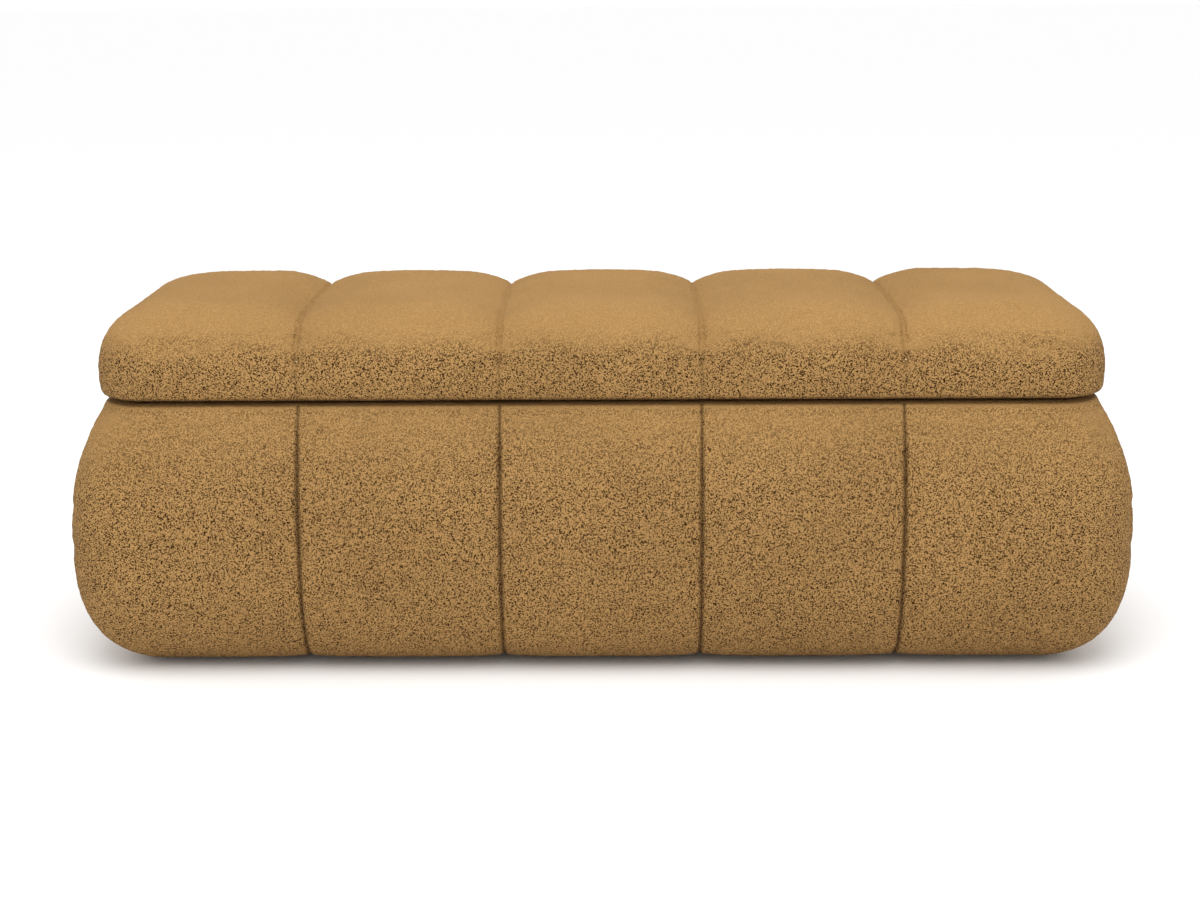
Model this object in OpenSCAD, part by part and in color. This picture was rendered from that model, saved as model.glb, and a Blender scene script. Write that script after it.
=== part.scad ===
// Upholstered storage ottoman: a long box on a recessed plinth, padded into a barrel form,
// with a channelled lid on three butt hinges and two gas struts.
// Millimetres, +Z up, front towards -Y, origin on the floor under the middle.

/* [Overall] */
// Width over the widest part of the cover
body_w = 1400; // [1200:10:1700]
// Depth over the widest part of the cover
body_d = 500; // [470:5:640]
// Height of the padded rim above the floor
rim_z = 362.5; // [330:0.5:460]
// Thickness of the closed lid
lid_t = 119; // [110:0.5:170]
// Gap between the rim and the underside of the closed lid
lid_gap = 4; // [4:0.1:6]
// How far the lid opens, degrees
lid_open = 85; // [60:1:88]

/* [Padded body] */
// Height at which the body is widest
belly_z = 155; // [130:1:200]
// How far the cover draws in from the belly to the underside
lower_draw_in = 103; // [80:1:110]
// How far the cover draws in from the belly to the rim
upper_draw_in = 43; // [35:0.5:50]
// Power of the curve from belly to rim
upper_power = 2.9; // [2:0.1:4]
// Rounding of the cover's upper edge
rim_r = 12; // [8:0.5:14]
// Plan radius of the padded corners
corner_r = 65; // [55:1:90]
// Width of one sewn channel
channel_pitch = 261.5; // [180:0.5:300]
// Slit between neighbouring foam pads, for the sewn-in seam
channel_slit = 4; // [2:0.5:8]
// Thickness of the cover fabric with its wadding
cover_t = 3; // [2:0.5:4]

/* [Padded lid] */
// How far each end of the lid stands in from the belly
lid_end_step = 37.5; // [30:0.5:45]
// How far the lid's front and back stand in from the belly
lid_side_step = 38; // [35:0.5:42]
// Plan radius of the lid's corners
lid_corner_r = 68; // [60:1:80]
// Draw-in of the lid's side at the start of its bottom rounding
lid_tuck = 2; // [0:0.5:3]
// Height of the lid's widest line above its underside
lid_belly = 28; // [20:1:40]
// Horizontal reach of the rounding to the top
crown_w = 98; // [60:1:110]
// Power of that rounding, where 2 is an ellipse
crown_power = 2.5; // [2:0.1:4]
// Depth of the channels' foam under the lid's top
channel_depth = 61; // [40:1:75]
// Thickness of the lid board
lid_board_t = 12; // [9:1:18]
// How far the lid board stands in from the lid's widest line
lid_board_step = 16; // [14:0.5:20]
// Corner radius of the lid board
lid_board_r = 50; // [48:1:60]
// Width of the lid cover's hem under the board
lid_hem_w = 50; // [25:1:60]

/* [Box and plinth] */
// Thickness of the walls
board_t = 15; // [12:1:18]
// Thickness of the floor panel
floor_t = 9; // [6:1:12]
// How far the walls stand in from the belly
wall_step = 72; // [70:0.5:76]
// Height of the plinth rails
plinth_h = 26; // [20:1:40]
// Width of the plinth rails
plinth_rail_w = 45; // [40:1:60]
// How far the plinth stands in from the belly
plinth_step = 110; // [106:1:116]
// Radius of the plinth's outer corners
plinth_r = 54; // [50:1:60]
// Thickness of the hinge rail behind the back wall
hinge_rail_t = 15; // [12:1:16]
// Height of the hinge rail
hinge_rail_h = 60; // [40:1:80]
// How far the hinge rail stops short of each end of the box
hinge_rail_stop = 38; // [34:1:60]

/* [Linings] */
// Thickness of the cover flap stapled inside the walls
flap_t = 2; // [1.5:0.1:2.5]
// How far that flap hangs below the rim
flap_drop = 40; // [30:1:60]
// Thickness of the storage lining
lining_t = 1.5; // [1:0.1:2]
// How far the lining's top edge lies below the rim
lining_drop = 17.5; // [12:0.5:25]
// Width of the cover's hem under the plinth
hem_w = 12; // [8:1:13]
// Thickness of the dust cover
dust_t = 0.8; // [0.6:0.1:1.2]
// How far the dust cover laps over the hem
dust_lap = 5; // [3:1:7]
// Thickness of the lid lining
lid_lining_t = 1; // [0.8:0.1:1.5]
// How far the lid lining stops short of the lid board's edge
lid_lining_stop = 8; // [8:1:12]

/* [Glides] */
// Diameter of a glide's foot
glide_d = 38; // [30:1:44]
// Thickness of a glide's foot, which is the dust cover's height off the floor
glide_t = 5.2; // [4:0.1:10]
// Diameter of a glide's boss
glide_boss_d = 20; // [14:1:22]
// Distance from each end of the plinth to the end glides
glide_end = 22.5; // [20:0.5:40]

/* [Hinges] */
// Length of a hinge leaf
hinge_l = 70; // [50:1:90]
// Thickness of a hinge leaf
leaf_t = 1.5; // [1.2:0.1:1.8]
// Depth of a leaf from the hinge axis
leaf_w = 30; // [29:0.5:34]
// Outside diameter of the knuckles
knuckle_d = 6.5; // [6:0.1:7.5]
// Diameter of the hinge pin
hinge_pin_d = 3; // [2.5:0.1:3.5]
// How far the hinge axis stands in from the belly
hinge_axis_step = 43; // [42:0.5:44]
// Spacing of the hinges
hinge_pitch = 450; // [300:5:500]

/* [Gas struts] */
// Distance from the hinge axis to each ball joint
strut_arm = 245; // [235:1:250]
// Angle at the hinge axis between the two ball joints with the lid closed, degrees
strut_spread = 68; // [66:0.5:72]
// Drop of the upper ball joint below the hinge axis
strut_drop = 12; // [11:0.5:13]
// Outside diameter of a strut's tube
tube_d = 15; // [14:0.5:18]
// Wall of a strut's tube
tube_wall = 1.3; // [1:0.1:1.6]
// Diameter of a strut's rod
rod_d = 6; // [5:0.5:7]
// Diameter of the ball studs
ball_d = 10; // [9:0.5:11]
// Thickness of the strut brackets
bracket_t = 2; // [1.5:0.1:2.5]

/* [Fasteners] */
// Diameter and length of the box's connecting screws
carcass_screw = [5, 50]; // [4:0.5:60]
// Diameter and length of the floor and plinth screws
floor_screw = [4, 30]; // [3.5:0.5:45]
// Diameter and length of the screws in the lower hinge leaves
hinge_screw = [3.5, 30]; // [3:0.5:40]
// Diameter and length of the short screws in lid and lining brackets
short_screw = [3.5, 11]; // [3:0.5:13]
// Diameter and length of the dowels
dowel = [8, 30]; // [6:1:40]
// Diameter and height of the rubber bumpers
bumper = [12, 3.5]; // [3:0.5:14]
// Running clearance round pins, rods and balls, on the radius
fit = 0.05; // [0.03:0.01:0.1]

/* [Hidden] */
channels = 5;
sides = ["left", "right"];
$fn = 48;

cover_colour = "#b98c52";
foam_colour = "#e9dcae";
board_colour = "#c8a877";
pine_colour = "#ddb97d";
lining_colour = "#2c2a29";
steel_colour = "#b9bcc0";
black_colour = "#1f2022";
far = 2000;
eps = 0.01;

// Heights, from the floor up
cover_z = glide_t + dust_t;
plinth_z = cover_z + cover_t;
floor_z = plinth_z + plinth_h;
wall_z = floor_z + floor_t;
wall_top = rim_z - cover_t;
lid_z = rim_z + lid_gap;
lid_board_z = lid_z + cover_t;
lid_top = lid_z + lid_t;
channel_z = lid_top - cover_t - channel_depth;

// Half sizes in plan
half_w = body_w / 2;
half_d = body_d / 2;
lid_half_w = half_w - lid_end_step;
lid_half_d = half_d - lid_side_step;
box_half = [half_w - wall_step, half_d - wall_step];
well_half = [box_half.x - board_t, box_half.y - board_t];
plinth_half = [half_w - plinth_step, half_d - plinth_step];
lid_board_half = [lid_half_w - lid_board_step, lid_half_d - lid_board_step];

// Hinge axis, and the centres of the struts' ball joints with the lid closed
axis_y = half_d - hinge_axis_step;
axis_z = (rim_z + lid_z) / 2;
upper_angle = asin(strut_drop / strut_arm);
lower_angle = upper_angle + strut_spread;
upper_ball = [axis_y - strut_arm * cos(upper_angle), axis_z - strut_arm * sin(upper_angle)];
lower_ball = [axis_y - strut_arm * cos(lower_angle), axis_z - strut_arm * sin(lower_angle)];
lining_x = well_half.x - flap_t - lining_t;
ball_neck = 7.5;
ball_x = lining_x - bracket_t - ball_neck - ball_d / 2;

// Lengths inside a gas strut, measured from the nearer ball joint
shut_l = 2 * strut_arm * sin(strut_spread / 2);
open_l = 2 * strut_arm * sin((strut_spread + lid_open) / 2);
socket_r = ball_d / 2 + 2.5;
socket_w = 11;
socket_reach = 14;
tube_end_wall = 3;
piston_l = 8;
piston_rest = 1.5;
gland_l = 6;
gland_cap = 1.5;
rod_l = shut_l - socket_reach - tube_end_wall - piston_rest;
tube_end = open_l - rod_l + piston_l + piston_rest + gland_l;
bore_r = tube_d / 2 - tube_wall;
rod_start = 8;

// Places that repeat
seam_x = [for (n = [1:channels - 1]) (n - channels / 2) * channel_pitch];
hinge_x = [for (n = [-1:1]) n * hinge_pitch];
hinge_screw_x = [for (n = [-1:1]) n * hinge_l * 0.36];
hinge_screw_y = box_half.y + hinge_rail_t / 2;
knuckles = 5;
knuckle_gap = 0.3;
knuckle_l = (hinge_l - (knuckles - 1) * knuckle_gap) / knuckles;
joint_heights = [for (n = [0:4]) wall_z + 30 + n * (wall_top - wall_z - 60) / 4];
glide_x = [for (n = [-1:1]) n * (plinth_half.x - glide_end)];
glide_y = plinth_half.y - plinth_rail_w / 2 - 2.5;
floor_screw_x = [for (n = [-3:3]) n * (box_half.x - board_t / 2) / 3];
plinth_screw_x = [for (n = [-1.5:1.5]) n * plinth_half.x * 0.55];
bumper_x = [for (n = [-1.5:1.5]) n * hinge_pitch * 5 / 6];
bumper_y = -(well_half.y + box_half.y) / 2 - 2;

// ---- Forms and patterns that pieces share ----

// Distance from the middle to the edge of a rounded rectangle, in the direction a
function reach(half, r, a) = (half.x - r) * abs(cos(a)) + (half.y - r) * abs(sin(a)) + r;

// Outline of the body, as [inset, loss of corner radius, height], from the underside up;
// skin is the depth below the cover's outer face
function body_levels(skin) = let (
        bottom = cover_z + skin, top = rim_z - skin, shoulder = rim_z - rim_r, r = rim_r - skin)
    concat(
        [for (a = [90:-15:15])
            [lower_draw_in * (1 - cos(a)), 0, belly_z - (belly_z - bottom) * sin(a)]],
        [for (t = [0:1/6:1 + eps])
            [upper_draw_in * pow(t, upper_power), 0, belly_z + (shoulder - belly_z) * t]],
        [for (a = [30:30:90])
            [upper_draw_in + r * (1 - cos(a)), r * (1 - cos(a)), top - r + r * sin(a)]]);

// Outline of the lid in the same form
function lid_levels(skin) = let (r = rim_r - skin, bottom = lid_z + skin,
        waist = lid_z + lid_belly, rise = lid_top - skin - waist)
    concat(
        [for (a = [90:-30:0])
            [lid_tuck + r * (1 - cos(a)), r * (1 - cos(a)), bottom + r * (1 - sin(a))]],
        [for (a = [0:12:84])
            [crown_w * (1 - pow(cos(a), 2 / crown_power)), 0,
             waist + rise * pow(sin(a), 2 / crown_power)]],
        [[crown_w, 0, lid_top - skin]]);

// Solid with a rounded-rectangle plan whose size follows the levels
module padded_form(half, r, skin, levels) {
    inner = [half.x - skin, half.y - skin];
    intersection_for (a = [0:30:150]) {
        edge = [for (l = levels)
            [reach([inner.x - l[0], inner.y - l[0]], r - skin - l[1], a), l[2]]];
        rotate([0, 0, a]) rotate([90, 0, 0])
            linear_extrude(height = far, center = true)
                polygon(concat(edge, [for (n = [len(edge) - 1:-1:0]) [-edge[n].x, edge[n].y]]));
    }
}

module body_form(skin) padded_form([half_w, half_d], corner_r, skin, body_levels(skin));

module lid_form(skin) padded_form([lid_half_w, lid_half_d], lid_corner_r, skin, lid_levels(skin));

// Upright block from one corner to the opposite one
module block(low, high) translate(low) cube(high - low);

// Block centred on the Z axis, from z0 to z1
module slab(half, z0, z1) block([-half.x, -half.y, z0], [half.x, half.y, z1]);

// Plate with true round corners
module round_plate(half, r, z0, z1) {
    translate([0, 0, z0]) linear_extrude(height = z1 - z0) union() {
        square([2 * half.x, 2 * (half.y - r)], center = true);
        square([2 * (half.x - r), 2 * half.y], center = true);
        for (x = [-1, 1], y = [-1, 1])
            translate([x * (half.x - r), y * (half.y - r)]) circle(r);
    }
}

// Countersunk screw along +Z: its head's face at the origin, its point at l
module screw(size) {
    head_h = size.x * 0.55;
    cylinder(h = head_h, d1 = size.x * 2, d2 = size.x * 1.1);
    translate([0, 0, head_h]) cylinder(h = size.y - head_h - size.x, d = size.x);
    translate([0, 0, size.y - size.x]) cylinder(h = size.x, d1 = size.x, d2 = size.x * 0.3);
}

// Hole that such a screw passes through, countersunk
module screw_hole(size) {
    clear = 0.2;
    translate([0, 0, -eps])
        cylinder(h = size.x * 0.55 + eps, d1 = size.x * 2 + clear, d2 = size.x * 1.1 + clear);
    cylinder(h = size.y, d = size.x * 1.1 + clear);
}

// Pilot hole for such a screw, narrower than its thread
module pilot(size) cylinder(h = size.y, d = size.x * 0.7);

// The box's corner joints, from outside the front and back walls: screws, or dowels between
module at_corner_joints(picks) {
    for (x = [-1, 1], y = [-1, 1], n = picks)
        translate([x * (box_half.x - board_t / 2), y * box_half.y, joint_heights[n]])
            rotate([90 * y, 0, 0]) children();
}

module at_carcass_screws() at_corner_joints([0, 2, 4]) children();

// Dowels lie half in each board and stop short of the outer face
module at_dowels() at_corner_joints([1, 3]) translate([0, 0, board_t - dowel.y / 3]) children();

// Floor panel into the walls, pointing up
module at_floor_screws() {
    for (x = floor_screw_x, y = [-1, 1])
        translate([x, y * (box_half.y - board_t / 2), floor_z]) children();
    for (x = [-1, 1], n = [-1, 0, 1])
        translate([x * (box_half.x - board_t / 2), n * well_half.y * 0.5, floor_z]) children();
}

// Floor panel into the plinth, pointing down
module at_plinth_screws() {
    for (x = plinth_screw_x, y = [-1, 1])
        translate([x, y * (plinth_half.y - plinth_rail_w / 2), wall_z])
            rotate([180, 0, 0]) children();
}

module at_glides() for (x = glide_x, y = [-1, 1]) translate([x, y * glide_y, 0]) children();

module at_hinge_screws() for (x = hinge_x, s = hinge_screw_x)
    translate([x + s, hinge_screw_y, axis_z]) children();

// Both sides' strut planes, the second mirrored
module both_sides() {
    children();
    mirror([1, 0, 0]) children();
}

// ---- Box and plinth ----

module floor_board() {
    color(board_colour) difference() {
        slab(box_half, floor_z, wall_z);
        at_floor_screws() screw_hole(floor_screw);
        at_plinth_screws() screw_hole(floor_screw);
    }
}

// Front wall at side -1, back wall at side 1
module long_board(side) {
    color(board_colour) difference() {
        block([-box_half.x, side > 0 ? well_half.y : -box_half.y, wall_z],
              [box_half.x, side > 0 ? box_half.y : -well_half.y, wall_top]);
        at_carcass_screws() screw_hole(carcass_screw);
        at_dowels() cylinder(h = dowel.y, d = dowel.x);
        at_floor_screws() pilot(floor_screw);
    }
}

// Left wall at side -1, right wall at side 1
module end_board(side) {
    color(board_colour) difference() {
        block([side > 0 ? well_half.x : -box_half.x, -well_half.y, wall_z],
              [side > 0 ? box_half.x : -well_half.x, well_half.y, wall_top]);
        at_carcass_screws() pilot(carcass_screw);
        at_dowels() cylinder(h = dowel.y, d = dowel.x);
        at_floor_screws() pilot(floor_screw);
    }
}

module hinge_rail() {
    x = box_half.x - hinge_rail_stop;
    color(pine_colour) difference() {
        block([-x, box_half.y, wall_top - hinge_rail_h], [x, box_half.y + hinge_rail_t, wall_top]);
        at_hinge_screws() rotate([180, 0, 0]) pilot(hinge_screw);
    }
}

module plinth_long_rails() {
    color(pine_colour) difference() {
        intersection() {
            for (y = [-plinth_half.y, plinth_half.y - plinth_rail_w])
                block([-plinth_half.x, y, plinth_z], [plinth_half.x, y + plinth_rail_w, floor_z]);
            round_plate(plinth_half, plinth_r, plinth_z, floor_z);
        }
        at_plinth_screws() pilot(floor_screw);
        at_glides() pilot(floor_screw);
    }
}

module plinth_cross_rails() {
    y = plinth_half.y - plinth_rail_w;
    color(pine_colour) intersection() {
        for (n = [-1:1]) {
            x = n * (plinth_half.x - plinth_rail_w / 2);
            block([x - plinth_rail_w / 2, -y, plinth_z], [x + plinth_rail_w / 2, y, floor_z]);
        }
        round_plate(plinth_half, plinth_r, plinth_z, floor_z);
    }
}

module carcass_dowels() color(pine_colour) at_dowels() cylinder(h = dowel.y, d = dowel.x);

module carcass_screws() color(steel_colour) at_carcass_screws() screw(carcass_screw);

module floor_screws() color(steel_colour) at_floor_screws() screw(floor_screw);

module plinth_screws() color(steel_colour) at_plinth_screws() screw(floor_screw);

// ---- Padding and cover of the body ----

// What the foam is glued round
module timber_space() {
    slab(box_half, floor_z, wall_top + eps);
    round_plate(plinth_half, plinth_r, cover_z, floor_z + eps);
    block([-box_half.x, 0, wall_top - hinge_rail_h],
          [box_half.x, box_half.y + hinge_rail_t, wall_top + eps]);
}

// Foam of channel n along the front (side -1) or the back (side 1)
module long_pad(side, n) {
    x0 = n == 1 ? -box_half.x : seam_x[n - 2] + channel_slit / 2;
    x1 = n == channels ? box_half.x : seam_x[n - 1] - channel_slit / 2;
    color(foam_colour) difference() {
        intersection() {
            body_form(cover_t);
            block([x0, side > 0 ? plinth_half.y : -far, 0], [x1, side > 0 ? far : -plinth_half.y, far]);
        }
        timber_space();
    }
}

// Foam round the left end (side -1) or the right end (side 1)
module end_pad(side) {
    color(foam_colour) difference() {
        intersection() {
            body_form(cover_t);
            block([side > 0 ? box_half.x : -far, -far, 0], [side > 0 ? far : -box_half.x, far, far]);
        }
        timber_space();
    }
}

module body_cover() {
    mouth = [well_half.x - flap_t, well_half.y - flap_t];
    hem = [plinth_half.x - hem_w, plinth_half.y - hem_w];
    color(cover_colour) union() {
        difference() {
            body_form(0);
            body_form(cover_t);
            slab(mouth, rim_z / 2, far);
            slab(hem, 0, rim_z / 2);
        }
        difference() {
            slab(well_half, rim_z - flap_drop, wall_top);
            slab(mouth, 0, far);
        }
    }
}

module storage_lining() {
    outer = [well_half.x - flap_t, well_half.y - flap_t];
    color(lining_colour) difference() {
        slab(outer, wall_z, rim_z - lining_drop);
        slab([lining_x, outer.y - lining_t], wall_z + lining_t, far);
    }
}

module dust_cover() {
    half = [plinth_half.x - hem_w + dust_lap, plinth_half.y - hem_w + dust_lap];
    color(lining_colour) difference() {
        slab(half, glide_t, cover_z);
        at_glides() cylinder(h = cover_z + eps, d = glide_boss_d);
    }
}

module glides() {
    edge = 1.2;
    color(black_colour) at_glides() difference() {
        union() {
            cylinder(h = edge, d1 = glide_d - 2 * edge, d2 = glide_d);
            translate([0, 0, edge]) cylinder(h = glide_t - edge, d = glide_d);
            cylinder(h = plinth_z, d = glide_boss_d);
        }
        translate([0, 0, glide_t / 3]) screw_hole(floor_screw);
        translate([0, 0, -eps]) cylinder(h = glide_t / 3 + 2 * eps, d = floor_screw.x * 2 + 0.2);
    }
}

module glide_screws() color(steel_colour)
    at_glides() translate([0, 0, glide_t / 3]) screw([floor_screw.x, plinth_h]);

// ---- Hinges ----

// Leaf whose plate lies on the side z = 1 above or -1 below the axis, with the knuckles in picks
module hinge_leaf(side, picks) {
    plate_z = side > 0 ? lid_gap / 2 - leaf_t : -lid_gap / 2;
    // Distance from the axis at which a plate clears the other leaf's knuckles
    clear_y = knuckle_d / 2 + 0.5;
    difference() {
        union() {
            block([-hinge_l / 2, -leaf_w, plate_z], [hinge_l / 2, -clear_y, plate_z + leaf_t]);
            for (n = picks) {
                x = -hinge_l / 2 + n * (knuckle_l + knuckle_gap);
                translate([x, 0, 0]) rotate([0, 90, 0]) cylinder(h = knuckle_l, d = knuckle_d);
                block([x, -clear_y - eps, plate_z], [x + knuckle_l, 0, plate_z + leaf_t]);
            }
        }
        translate([-hinge_l, 0, 0]) rotate([0, 90, 0])
            cylinder(h = 2 * hinge_l, d = hinge_pin_d + 2 * fit);
        for (s = hinge_screw_x) {
            size = side > 0 ? short_screw : hinge_screw;
            translate([s, hinge_screw_y - axis_y, side > 0 ? plate_z : plate_z + leaf_t])
                rotate([side > 0 ? 0 : 180, 0, 0]) screw_hole(size);
        }
    }
}

module at_hinges() for (x = hinge_x) translate([x, axis_y, axis_z]) children();

module hinge_base_leaves() color(steel_colour) at_hinges() hinge_leaf(-1, [0, 2, 4]);

module hinge_lid_leaves() color(steel_colour) at_hinges() hinge_leaf(1, [1, 3]);

module hinge_pins() {
    head = 1;
    color(steel_colour) at_hinges() rotate([0, 90, 0]) {
        translate([0, 0, -hinge_l / 2]) cylinder(h = hinge_l, d = hinge_pin_d);
        for (z = [-hinge_l / 2 - head, hinge_l / 2])
            translate([0, 0, z]) cylinder(h = head, d = knuckle_d - 1.5);
    }
}

module hinge_base_screws() color(steel_colour)
    at_hinge_screws() translate([0, 0, -lid_gap / 2 + leaf_t]) rotate([180, 0, 0]) screw(hinge_screw);

module hinge_lid_screws() color(steel_colour)
    at_hinge_screws() translate([0, 0, lid_gap / 2 - leaf_t]) screw(short_screw);

// ---- Gas struts ----

// Ball stud along -X: its ball at the origin, its neck reaching the bracket at +X
module ball_stud() {
    rotate([0, 90, 0]) sphere(d = ball_d);
    rotate([0, 90, 0]) cylinder(h = ball_neck + ball_d / 2, d = rod_d);
    translate([ball_neck + ball_d / 2 - 1.5, 0, 0]) rotate([0, 90, 0]) cylinder(h = 1.5, d = ball_d);
}

// Half width, and distance of the two screws from the ball, on the lower bracket
bracket_half = 11;
bracket_screw_z = 20;

module strut_base_bracket() {
    x = lining_x - bracket_t;
    difference() {
        union() {
            translate([ball_x, lower_ball.x, lower_ball.y]) ball_stud();
            block([x, lower_ball.x - bracket_half, lower_ball.y - bracket_screw_z - 9],
                  [lining_x, lower_ball.x + bracket_half, lower_ball.y + bracket_screw_z + 9]);
        }
        at_base_bracket_screws() screw_hole(short_screw);
    }
}

module at_base_bracket_screws() {
    for (z = [-1, 1])
        translate([lining_x - bracket_t, lower_ball.x, lower_ball.y + z * bracket_screw_z])
            rotate([0, 90, 0]) children();
}

module strut_base_brackets() color(black_colour) both_sides() strut_base_bracket();

module strut_base_screws() color(steel_colour)
    both_sides() at_base_bracket_screws() screw([short_screw.x, board_t + flap_t]);

// Angle bracket under the lid: a foot against the lining and a flange down to the ball stud
module strut_lid_bracket() {
    x = lining_x - bracket_t;
    difference() {
        union() {
            translate([ball_x, upper_ball.x, upper_ball.y]) {
                rotate([0, 90, 0]) sphere(d = ball_d);
                rotate([0, 90, 0]) cylinder(h = x - bracket_t - ball_x + eps, d = rod_d);
            }
            block([x - bracket_t, upper_ball.x - bracket_half, upper_ball.y - 8],
                  [x, upper_ball.x + bracket_half, lid_z]);
            block([x - 30, upper_ball.x - bracket_screw_z - 7, lid_z - bracket_t],
                  [x, upper_ball.x + bracket_screw_z + 7, lid_z]);
        }
        at_lid_bracket_screws() screw_hole(short_screw);
    }
}

module at_lid_bracket_screws() {
    for (y = [-1, 1])
        translate([lining_x - bracket_t - 15, upper_ball.x + y * bracket_screw_z, lid_z - bracket_t])
            children();
}

module strut_lid_brackets() color(black_colour) both_sides() strut_lid_bracket();

module strut_lid_screws() color(steel_colour)
    both_sides() at_lid_bracket_screws() screw(short_screw);

// Moves a piece modelled on the Z axis onto the strut: from the lower ball up, or, for the
// rod, from the upper ball down
module on_strut(from_top) {
    lean = atan2(lower_ball.x - upper_ball.x, upper_ball.y - lower_ball.y);
    start = from_top ? upper_ball : lower_ball;
    translate([ball_x, start.x, start.y]) rotate([lean + (from_top ? 180 : 0), 0, 0]) children();
}

// Socket that snaps over a ball stud whose neck points to +X
module strut_socket(stem_end) {
    lip_d = ball_d * 0.84;
    difference() {
        union() {
            translate([-socket_w / 2, 0, 0]) rotate([0, 90, 0]) cylinder(h = socket_w, r = socket_r);
            cylinder(h = stem_end, r = socket_r * 0.6);
        }
        rotate([0, 90, 0]) sphere(r = ball_d / 2 + fit);
        rotate([0, 90, 0]) cylinder(h = far, d = lip_d);
    }
}

module strut_tube() {
    difference() {
        translate([0, 0, socket_reach]) cylinder(h = tube_end - socket_reach, d = tube_d);
        translate([0, 0, socket_reach + tube_end_wall]) cylinder(h = tube_end, r = bore_r);
    }
}

module strut_gland() {
    difference() {
        union() {
            translate([0, 0, tube_end - gland_l]) cylinder(h = gland_l, r = bore_r);
            translate([0, 0, tube_end]) cylinder(h = gland_cap, d = tube_d);
        }
        cylinder(h = far, d = rod_d + 2 * fit);
    }
}

// Rod with its piston, from the upper ball joint's socket down
module strut_rod() {
    piston_gap = 0.2;
    translate([0, 0, rod_start]) cylinder(h = rod_l - rod_start, d = rod_d);
    translate([0, 0, rod_l - piston_l]) cylinder(h = piston_l, r = bore_r - piston_gap);
}

// Mirrors a right-hand strut piece to the left
module strut_side(s) {
    if (s == "right") children();
    else mirror([1, 0, 0]) children();
}

// ---- Lid ----

module lid_board() {
    color(board_colour) difference() {
        round_plate(lid_board_half, lid_board_r, lid_board_z, lid_board_z + lid_board_t);
        at_hinge_screws() translate([0, 0, lid_gap / 2 - leaf_t]) pilot(short_screw);
        both_sides() at_lid_bracket_screws() pilot(short_screw);
    }
}

module lid_core_foam() {
    color(foam_colour) difference() {
        intersection() {
            lid_form(cover_t);
            slab([far, far], lid_board_z, channel_z);
        }
        round_plate(lid_board_half, lid_board_r, lid_board_z - 1, lid_board_z + lid_board_t);
    }
}

module lid_channel_pad(n) {
    x0 = n == 1 ? -far : seam_x[n - 2] + channel_slit / 2;
    x1 = n == channels ? far : seam_x[n - 1] - channel_slit / 2;
    color(foam_colour) intersection() {
        lid_form(cover_t);
        block([x0, -far, channel_z], [x1, far, far]);
    }
}

// Space that the lid lining takes in the cover's underside
module lid_lining_plate() {
    round_plate([lid_board_half.x - lid_lining_stop, lid_board_half.y - lid_lining_stop],
                lid_board_r, lid_z, lid_z + lid_lining_t);
}

module lid_cover() {
    hem = [lid_board_half.x - lid_hem_w, lid_board_half.y - lid_hem_w];
    color(cover_colour) difference() {
        lid_form(0);
        lid_form(cover_t);
        slab(hem, 0, lid_board_z + eps);
        lid_lining_plate();
    }
}

module lid_lining() {
    color(lining_colour) difference() {
        lid_lining_plate();
        at_hinge_screws() translate([0, 0, lid_gap / 2 - leaf_t]) screw_hole(short_screw);
        both_sides() at_lid_bracket_screws() screw_hole(short_screw);
    }
}

module lid_bumpers() {
    dome = 1.5;
    color(black_colour) for (x = bumper_x) translate([x, bumper_y, lid_z]) mirror([0, 0, 1]) {
        cylinder(h = bumper.y - dome, d = bumper.x);
        translate([0, 0, bumper.y - dome]) cylinder(h = dome, d1 = bumper.x, d2 = bumper.x - 3 * dome);
    }
}

// ---- Assembly ----

floor_board();
long_board(-1);  // front_board
long_board(1);  // back_board
end_board(-1);  // left_end_board
end_board(1);  // right_end_board
hinge_rail();
plinth_long_rails();
plinth_cross_rails();
carcass_dowels();
carcass_screws();
floor_screws();
plinth_screws();
for (n = [1:channels]) {
    long_pad(-1, n);
    long_pad(1, n);
    lid_channel_pad(n);
}
end_pad(-1);  // left_end_pad
end_pad(1);  // right_end_pad
body_cover();
storage_lining();
dust_cover();
glides();
glide_screws();
hinge_base_leaves();
hinge_pins();
hinge_base_screws();
strut_base_brackets();
strut_base_screws();
lid_board();
lid_core_foam();
lid_cover();
lid_lining();
hinge_lid_leaves();
hinge_lid_screws();
strut_lid_brackets();
strut_lid_screws();
lid_bumpers();
for (s = sides) {
    color(black_colour) strut_side(s) on_strut(false) strut_socket(socket_reach);
    color(black_colour) strut_side(s) on_strut(false) strut_tube();
    color(black_colour) strut_side(s) on_strut(false) strut_gland();
    color(steel_colour) strut_side(s) on_strut(true) strut_rod();
    color(black_colour) strut_side(s) on_strut(true) strut_socket(rod_start);
}
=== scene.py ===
"""Looks of the long storage ottoman: boucle covers, foam, timber, linings and hardware.

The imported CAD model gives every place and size. The covers are padded skins laid over it,
inflated as cloth between their sewn seams, and roughened into looped pile.
"""

import logging
import math
from contextlib import contextmanager
from dataclasses import dataclass
from enum import Enum
from typing import Callable, Iterable, Iterator, Sequence

import bmesh
import bpy
import numpy as np
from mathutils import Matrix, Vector


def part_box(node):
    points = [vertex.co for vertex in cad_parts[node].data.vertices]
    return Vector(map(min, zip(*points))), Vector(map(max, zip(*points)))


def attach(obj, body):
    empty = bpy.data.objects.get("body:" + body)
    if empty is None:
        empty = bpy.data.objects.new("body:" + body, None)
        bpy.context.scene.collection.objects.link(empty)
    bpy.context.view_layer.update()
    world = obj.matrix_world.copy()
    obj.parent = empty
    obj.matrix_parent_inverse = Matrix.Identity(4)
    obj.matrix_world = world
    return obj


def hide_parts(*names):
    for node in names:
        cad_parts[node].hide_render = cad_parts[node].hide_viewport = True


LOG = logging.getLogger("ottoman")

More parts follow.
